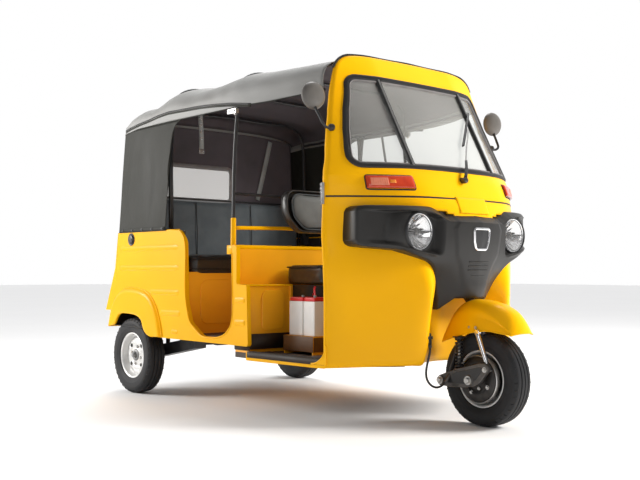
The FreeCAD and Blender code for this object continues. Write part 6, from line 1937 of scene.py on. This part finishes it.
# =====================================================================================================
# canopy frame dressing, straps and small parts
# =====================================================================================================
BPX, BPY = 600.0, 1067.0
for sx, tag in ((1, "left"), (-1, "right")):
    # flared yellow socket of the middle pillar
    V, F = lathe_data([(-6, 0), (-6, 13.4), (130, 12.6), (133, 11.5), (133, 9)], (sx * BPX, BPY, 799), (0, 0, 1), 32)
    obj("pillar_socket_" + tag, V, F, YELLOW, smooth=40)
    # chrome clamp at the pillar's top
    V, F = merge([box_data(sx * BPX - 9, sx * BPX + 9, 1040, 1112, 1440, 1466), tube_data([(sx * BPX, 1050, 1432), (sx * BPX, 1064, 1446)], [7, 7], 12)])
    o = obj("pillar_clamp_" + tag, V, F, STEEL, smooth=40)
    bevel(o, 2.0, 2)
    bolts("pillar_clamp_bolts_" + tag, [((sx * (BPX + 9), y, 1453), (sx, 0, 0), 5.5, 4) for y in (1056, 1096)], STEEL)
tube("partition_rail", resample([(-592, 1063, 884), (-300, 1063, 890), (300, 1063, 890), (592, 1063, 884)], 40, False), 9.6, YELLOW, 16)
# bows, pillars and rails of the hood, in round tube
runs = []
for y_, crown_, w_, eave_, fx_, fz_ in ((1067, 1682, 606, 1484, 600, 800), (1640, 1682, 612, 1482, 590, 870), (1960, 1612, 606, 1476, 590, 870)):
    half_b = [(fx_, y_, fz_), (fx_, y_, fz_ + 120), (w_ - 20, y_, eave_ - 110), (w_ - 26, y_, eave_ - 20), (w_ - 44, y_, crown_ - 96), (w_ - 92, y_, crown_ - 50), (w_ * 0.55, y_, crown_ - 27), (0, y_, crown_ - 22)]
    full_b = half_b + [(-p[0], p[1], p[2]) for p in reversed(half_b[:-1])]
    runs.append((through(full_b, 120, False), 9.0))
for sx in (-1, 1):
    runs.append((resample([(sx * 585, 1067, 1478), (sx * 588, 1640, 1478), (sx * 584, 1960, 1472)], 30, False), 7.0))
    runs.append((resample([(sx * 585, 1067, 1478), (sx * 492, 520, 1494)], 12, False), 7.0))
runs.append((resample([(-598, 1065, 1050), (598, 1065, 1050)], 20, False), 7.5))
V, F = merge([tube_data(p, r, 14) for p, r in runs] + [box_data(sx * 574, sx * 617, y - 18, y + 18, 842, 897) for sx in (-1, 1) for y in (1640, 1960)])
fix(obj("hood_frame_tubes", V, F, DARKSTEEL, smooth=50, replaces=("canopy_frame",)))
for sx, tag in ((1, "left"), (-1, "right")):
    V, F = box_data(sx * 571, sx * 617, 1053, 1099, 756, 800)
    o = fix(obj("pillar_foot_" + tag, V, F, YELLOW))
    bevel(o, 3.0, 2)
# far side: a flared post at the back of the entry
tube("entry_rear_post_left", [(602, 1451, 884), (602, 1451, 1200), (602, 1451, 1330), (602, 1449, 1420), (602, 1449, 1476)], [11, 11, 12, 17, 24], DARKSTEEL, 14)
# hanging grab straps with eyelets, from the second bow
for sx, tag in ((-1, "right"),):
    path = [(sx * 318, 1788, 1560), (sx * 314, 1787, 1500), (sx * 310, 1786, 1430), (sx * 308, 1786, 1334)]
    V, F = strip_data([tuple(p) for p in resample(through(path, 40, False), 30, False)], [(0, -1, 0)] * 30, [(-15, 0), (-15, 2.4), (15, 2.4), (15, 0)])
    o = obj("grab_strap_" + tag, V, F, VGREY)
    parts = [lathe_data([(0, 4), (0, 8.5), (1.6, 8.5), (2.2, 7.5), (2.2, 4)], (sx * (317 - 0.04 * (1540 - z)), 1784.5, z), (0, -1, 0), 18) for z in (1536, 1498, 1460, 1422)]
    V, F = merge(parts)
    obj("grab_strap_eyelets_" + tag, V, F, CHROME)
    prism("grab_strap_slider_" + tag, [(sx * 308 + a, 1782, b) for a, b in ((-18, 1338), (18, 1338), (18, 1362), (-18, 1362))], (0, 4, 0), CHROME, 1.0, 2)
for sx, tag in ((1, "left"), (-1, "right")):
    # rear posts inside the hood, and the vinyl on the inner face of the body side
    V, F = box_data(sx * 611, sx * 616.5, 1470, 2080, 674, 884)
    o = fix(obj("side_trim_" + tag, V, F, VBLACK))
    bevel(o, 2.5, 2)
    tube("rear_post_cover_" + tag, [(sx * 594, 1640, 860), (sx * 600, 1640, 1180), (sx * 600, 1640, 1440)], 13.0, DARKSTEEL, 14)
# door posts behind the front entry on the far side
V, F = merge([tube_data([(605, 1232, 350), (604, 1232, 800), (600, 1230, 1300), (600, 1262, 1456)], [7, 7, 7, 7], 12), lathe_data([(0, 0), (0, 15), (3, 15), (5, 13), (5, 0)], (605, 1232, 349.5), (0, 0, 1), 20)])
obj("entry_post_left", V, F, DARKSTEEL)
# rubber trim along the top edge behind the header
HEAD_TOP = [(0, 1669.5), (100, 1667), (200, 1666), (300, 1664), (350, 1661), (400, 1652), (425, 1640), (450, 1619), (468, 1590)]
tube("header_edge_trim", through([(x, 484 if abs(x) < 320 else 490, lerp_table(abs(x), HEAD_TOP) + 3.0) for x in (-468, -450, -425, -400, -350, -300, -200, -100, 0, 100, 200, 300, 350, 400, 425, 450, 468)], 80, False), 6.0, RUBBER, 10)
# painted shade: dark brown sheets round the driver's seat box and a brown box on the battery shelf stand in for the
# shadow inside the cab
BROWN = mat("inner_shadow_brown", (0.16, 0.060, 0.010), (0.10, 0.040, 0.008), rough=(0.5, 0.62), scale=7.0, bumps=((300.0, 0.1, 0.0004),))
DARKBROWN = mat("inner_shadow_dark", (0.030, 0.018, 0.010), (0.020, 0.012, 0.008), rough=(0.55, 0.7), scale=7.0, bumps=((300.0, 0.1, 0.0004),))
V, F = merge([box_data(-352.5, -350.2, 703, 920, 306, 609), box_data(-352, 352, 702.5, 704.8, 306, 609), box_data(350.2, 352.5, 703, 920, 306, 609)])
obj("seat_box_painted_shade", V, F, DARKBROWN)
# painted shade: brown box below the batteries, where the shelf lies in shadow
V, F = merge([box_data(-486, -344, 598, 600, 306, 372), box_data(-492, -490, 598, 812, 306, 376), box_data(-488, -342, 602, 812, 306, 363)])
o = obj("battery_shelf_painted_shade", V, F, BROWN)
bevel(o, 3.0, 2)

# steering column, crown and leg of the front wheel, as turned and rounded parts
RAKE_P = np.array([0.0, 75.0, 520.0])
RAKE_D = np.array([0.0, math.sin(math.radians(24.0)), math.cos(math.radians(24.0))])
c0 = RAKE_P + RAKE_D * -40.0
V, F = merge([tube_data([c0, c0 + RAKE_D * 560.0], [15.0, 15.0], 28),
              lathe_data([(-16, 0), (-16, 26), (-12, 30), (20, 30), (24, 27), (24, 0)], tuple(c0), tuple(RAKE_D), 36),
              tube_data([(-68, 60, 486), (-68, 112, 330), (-68, 158, 205)], [10, 11, 12], 14, squash=0.6),
              lathe_data([(0, 0), (0, 20), (2, 22), (36, 22), (38, 20), (38, 0)], (-100, 160, 196), (1, 0, 0), 32),
              lathe_data([(0, 0), (0, 7), (40, 7), (40, 0)], (-104, -30, 402), (1, 0, 0), 20)])
clean(obj("steering_column_parts", V, F, DARKSTEEL, body="steering", smooth=40, slot="dark_steel", replaces=("steering_column",)))
for nm_, x0_, x1_, y0_, y1_, z0_, z1_ in (("crown_plate", -72, 26, 38, 90, 450, 478), ("damper_ear", -78, -63, -44, 36, 404, 440), ("spring_seat_plate", -116, -63, 54, 96, 386, 391)):
    V, F = box_data(x0_, x1_, y0_, y1_, z0_, z1_)
    o = fix(obj("steering_" + nm_, V, F, DARKSTEEL, body="steering", smooth=40, slot="dark_steel"))
    bevel(o, 2.2, 2)
# painted shade: dark sheets over the foot of the seat box and the upper half of the sills, where the cab floor lies in
# shadow
for sx, tag in ((1, "left"), (-1, "right")):
    V, F = merge([box_data(sx * 352, sx * 611, 913.5, 919.2, 306, 378), box_data(sx * 612.4, sx * 614.4, 914, 1034, 300, 326)])
    fix(obj("seat_box_foot_painted_shade_" + tag, V, F, DARKBROWN))
    tp = resample([(sx * 606, 400, 299.6), (sx * 628, 896, 299.6)], 24, False)
    V, F = strip_data([tuple(p) for p in tp], [(0, 0, 1)] * 24, [(-15, 0), (-15, 1.4), (15, 1.4), (15, 0)])
    fix(obj("sill_top_painted_shade_" + tag, V, F, DARKBROWN))
    sp = resample(through([(sx * 615.5, 380, 286), (sx * 622.8, 430, 286), (sx * 634.0, 670, 286), (sx * 643.6, 892, 286)], 40, False), 30, False)
    V, F = strip_data([tuple(p) for p in sp], [(sx, 0, 0)] * 30, [(-13, 0), (-13, 1.8), (13, 1.8), (13, 0)])
    fix(obj("sill_side_painted_shade_" + tag, V, F, DARKBROWN))
# rounded lower front corner of each doorway
for sx, tag in ((1, "left"), (-1, "right")):
    arc = [(0, 452 + 82 * math.cos(t), 358 + 82 * math.sin(t)) for t in np.linspace(math.pi, 1.5 * math.pi, 22)]
    pl = [(0, 367, 274), (0, 367, 358)] + arc + [(0, 452, 274)]
    xs = [sx * float(np.interp(p[1], [367, 380, 430, 452], [616.6, 618.6, 626.0, 627.6])) for p in pl]
    pl = [(x, p[1], p[2]) for x, p in zip(xs, pl)]
    prism("entry_corner_" + tag, pl, (-sx * 4, 0, 0), YELLOW)
    tubes("entry_corner_roll_" + tag, [(np.array(pl[2:-1]) + np.array([-sx * 2.0, 0, 0]), 4.0)], YELLOW, 12)
# =====================================================================================================
# finish of the CAD parts that are kept as they are
# =====================================================================================================
CADMAT = {"windscreen_glass": SCREEN_GLASS, "steering_head": DARKSTEEL, "dashboard": BLACKP, "cab_floor": FLOOR, "driver_seat_base": YELLOW_IN,
          "brake_pedal": STEEL, "inner_body": YELLOW_IN, "rear_panel": YELLOW, "engine_lid": YELLOW, "canopy_frame": DARKSTEEL,
          "chassis_frame": DARKSTEEL, "engine_block": CAST, "rear_suspension_arms": DARKSTEEL, "drive_shafts": STEEL, "rear_dampers": DARKSTEEL,
          "exhaust_muffler": GREYSTEEL, "rear_bumper": DARKSTEEL, "number_plate": PLATE, "steering_column": DARKSTEEL, "handlebar": BLACKP,
          "hose_gland": BLACKP}
for _n, _o in NODE.items():
    if _n in CADMAT and _o.data.materials:
        for _i in range(len(_o.data.materials)):
            _o.data.materials[_i] = CADMAT[_n]
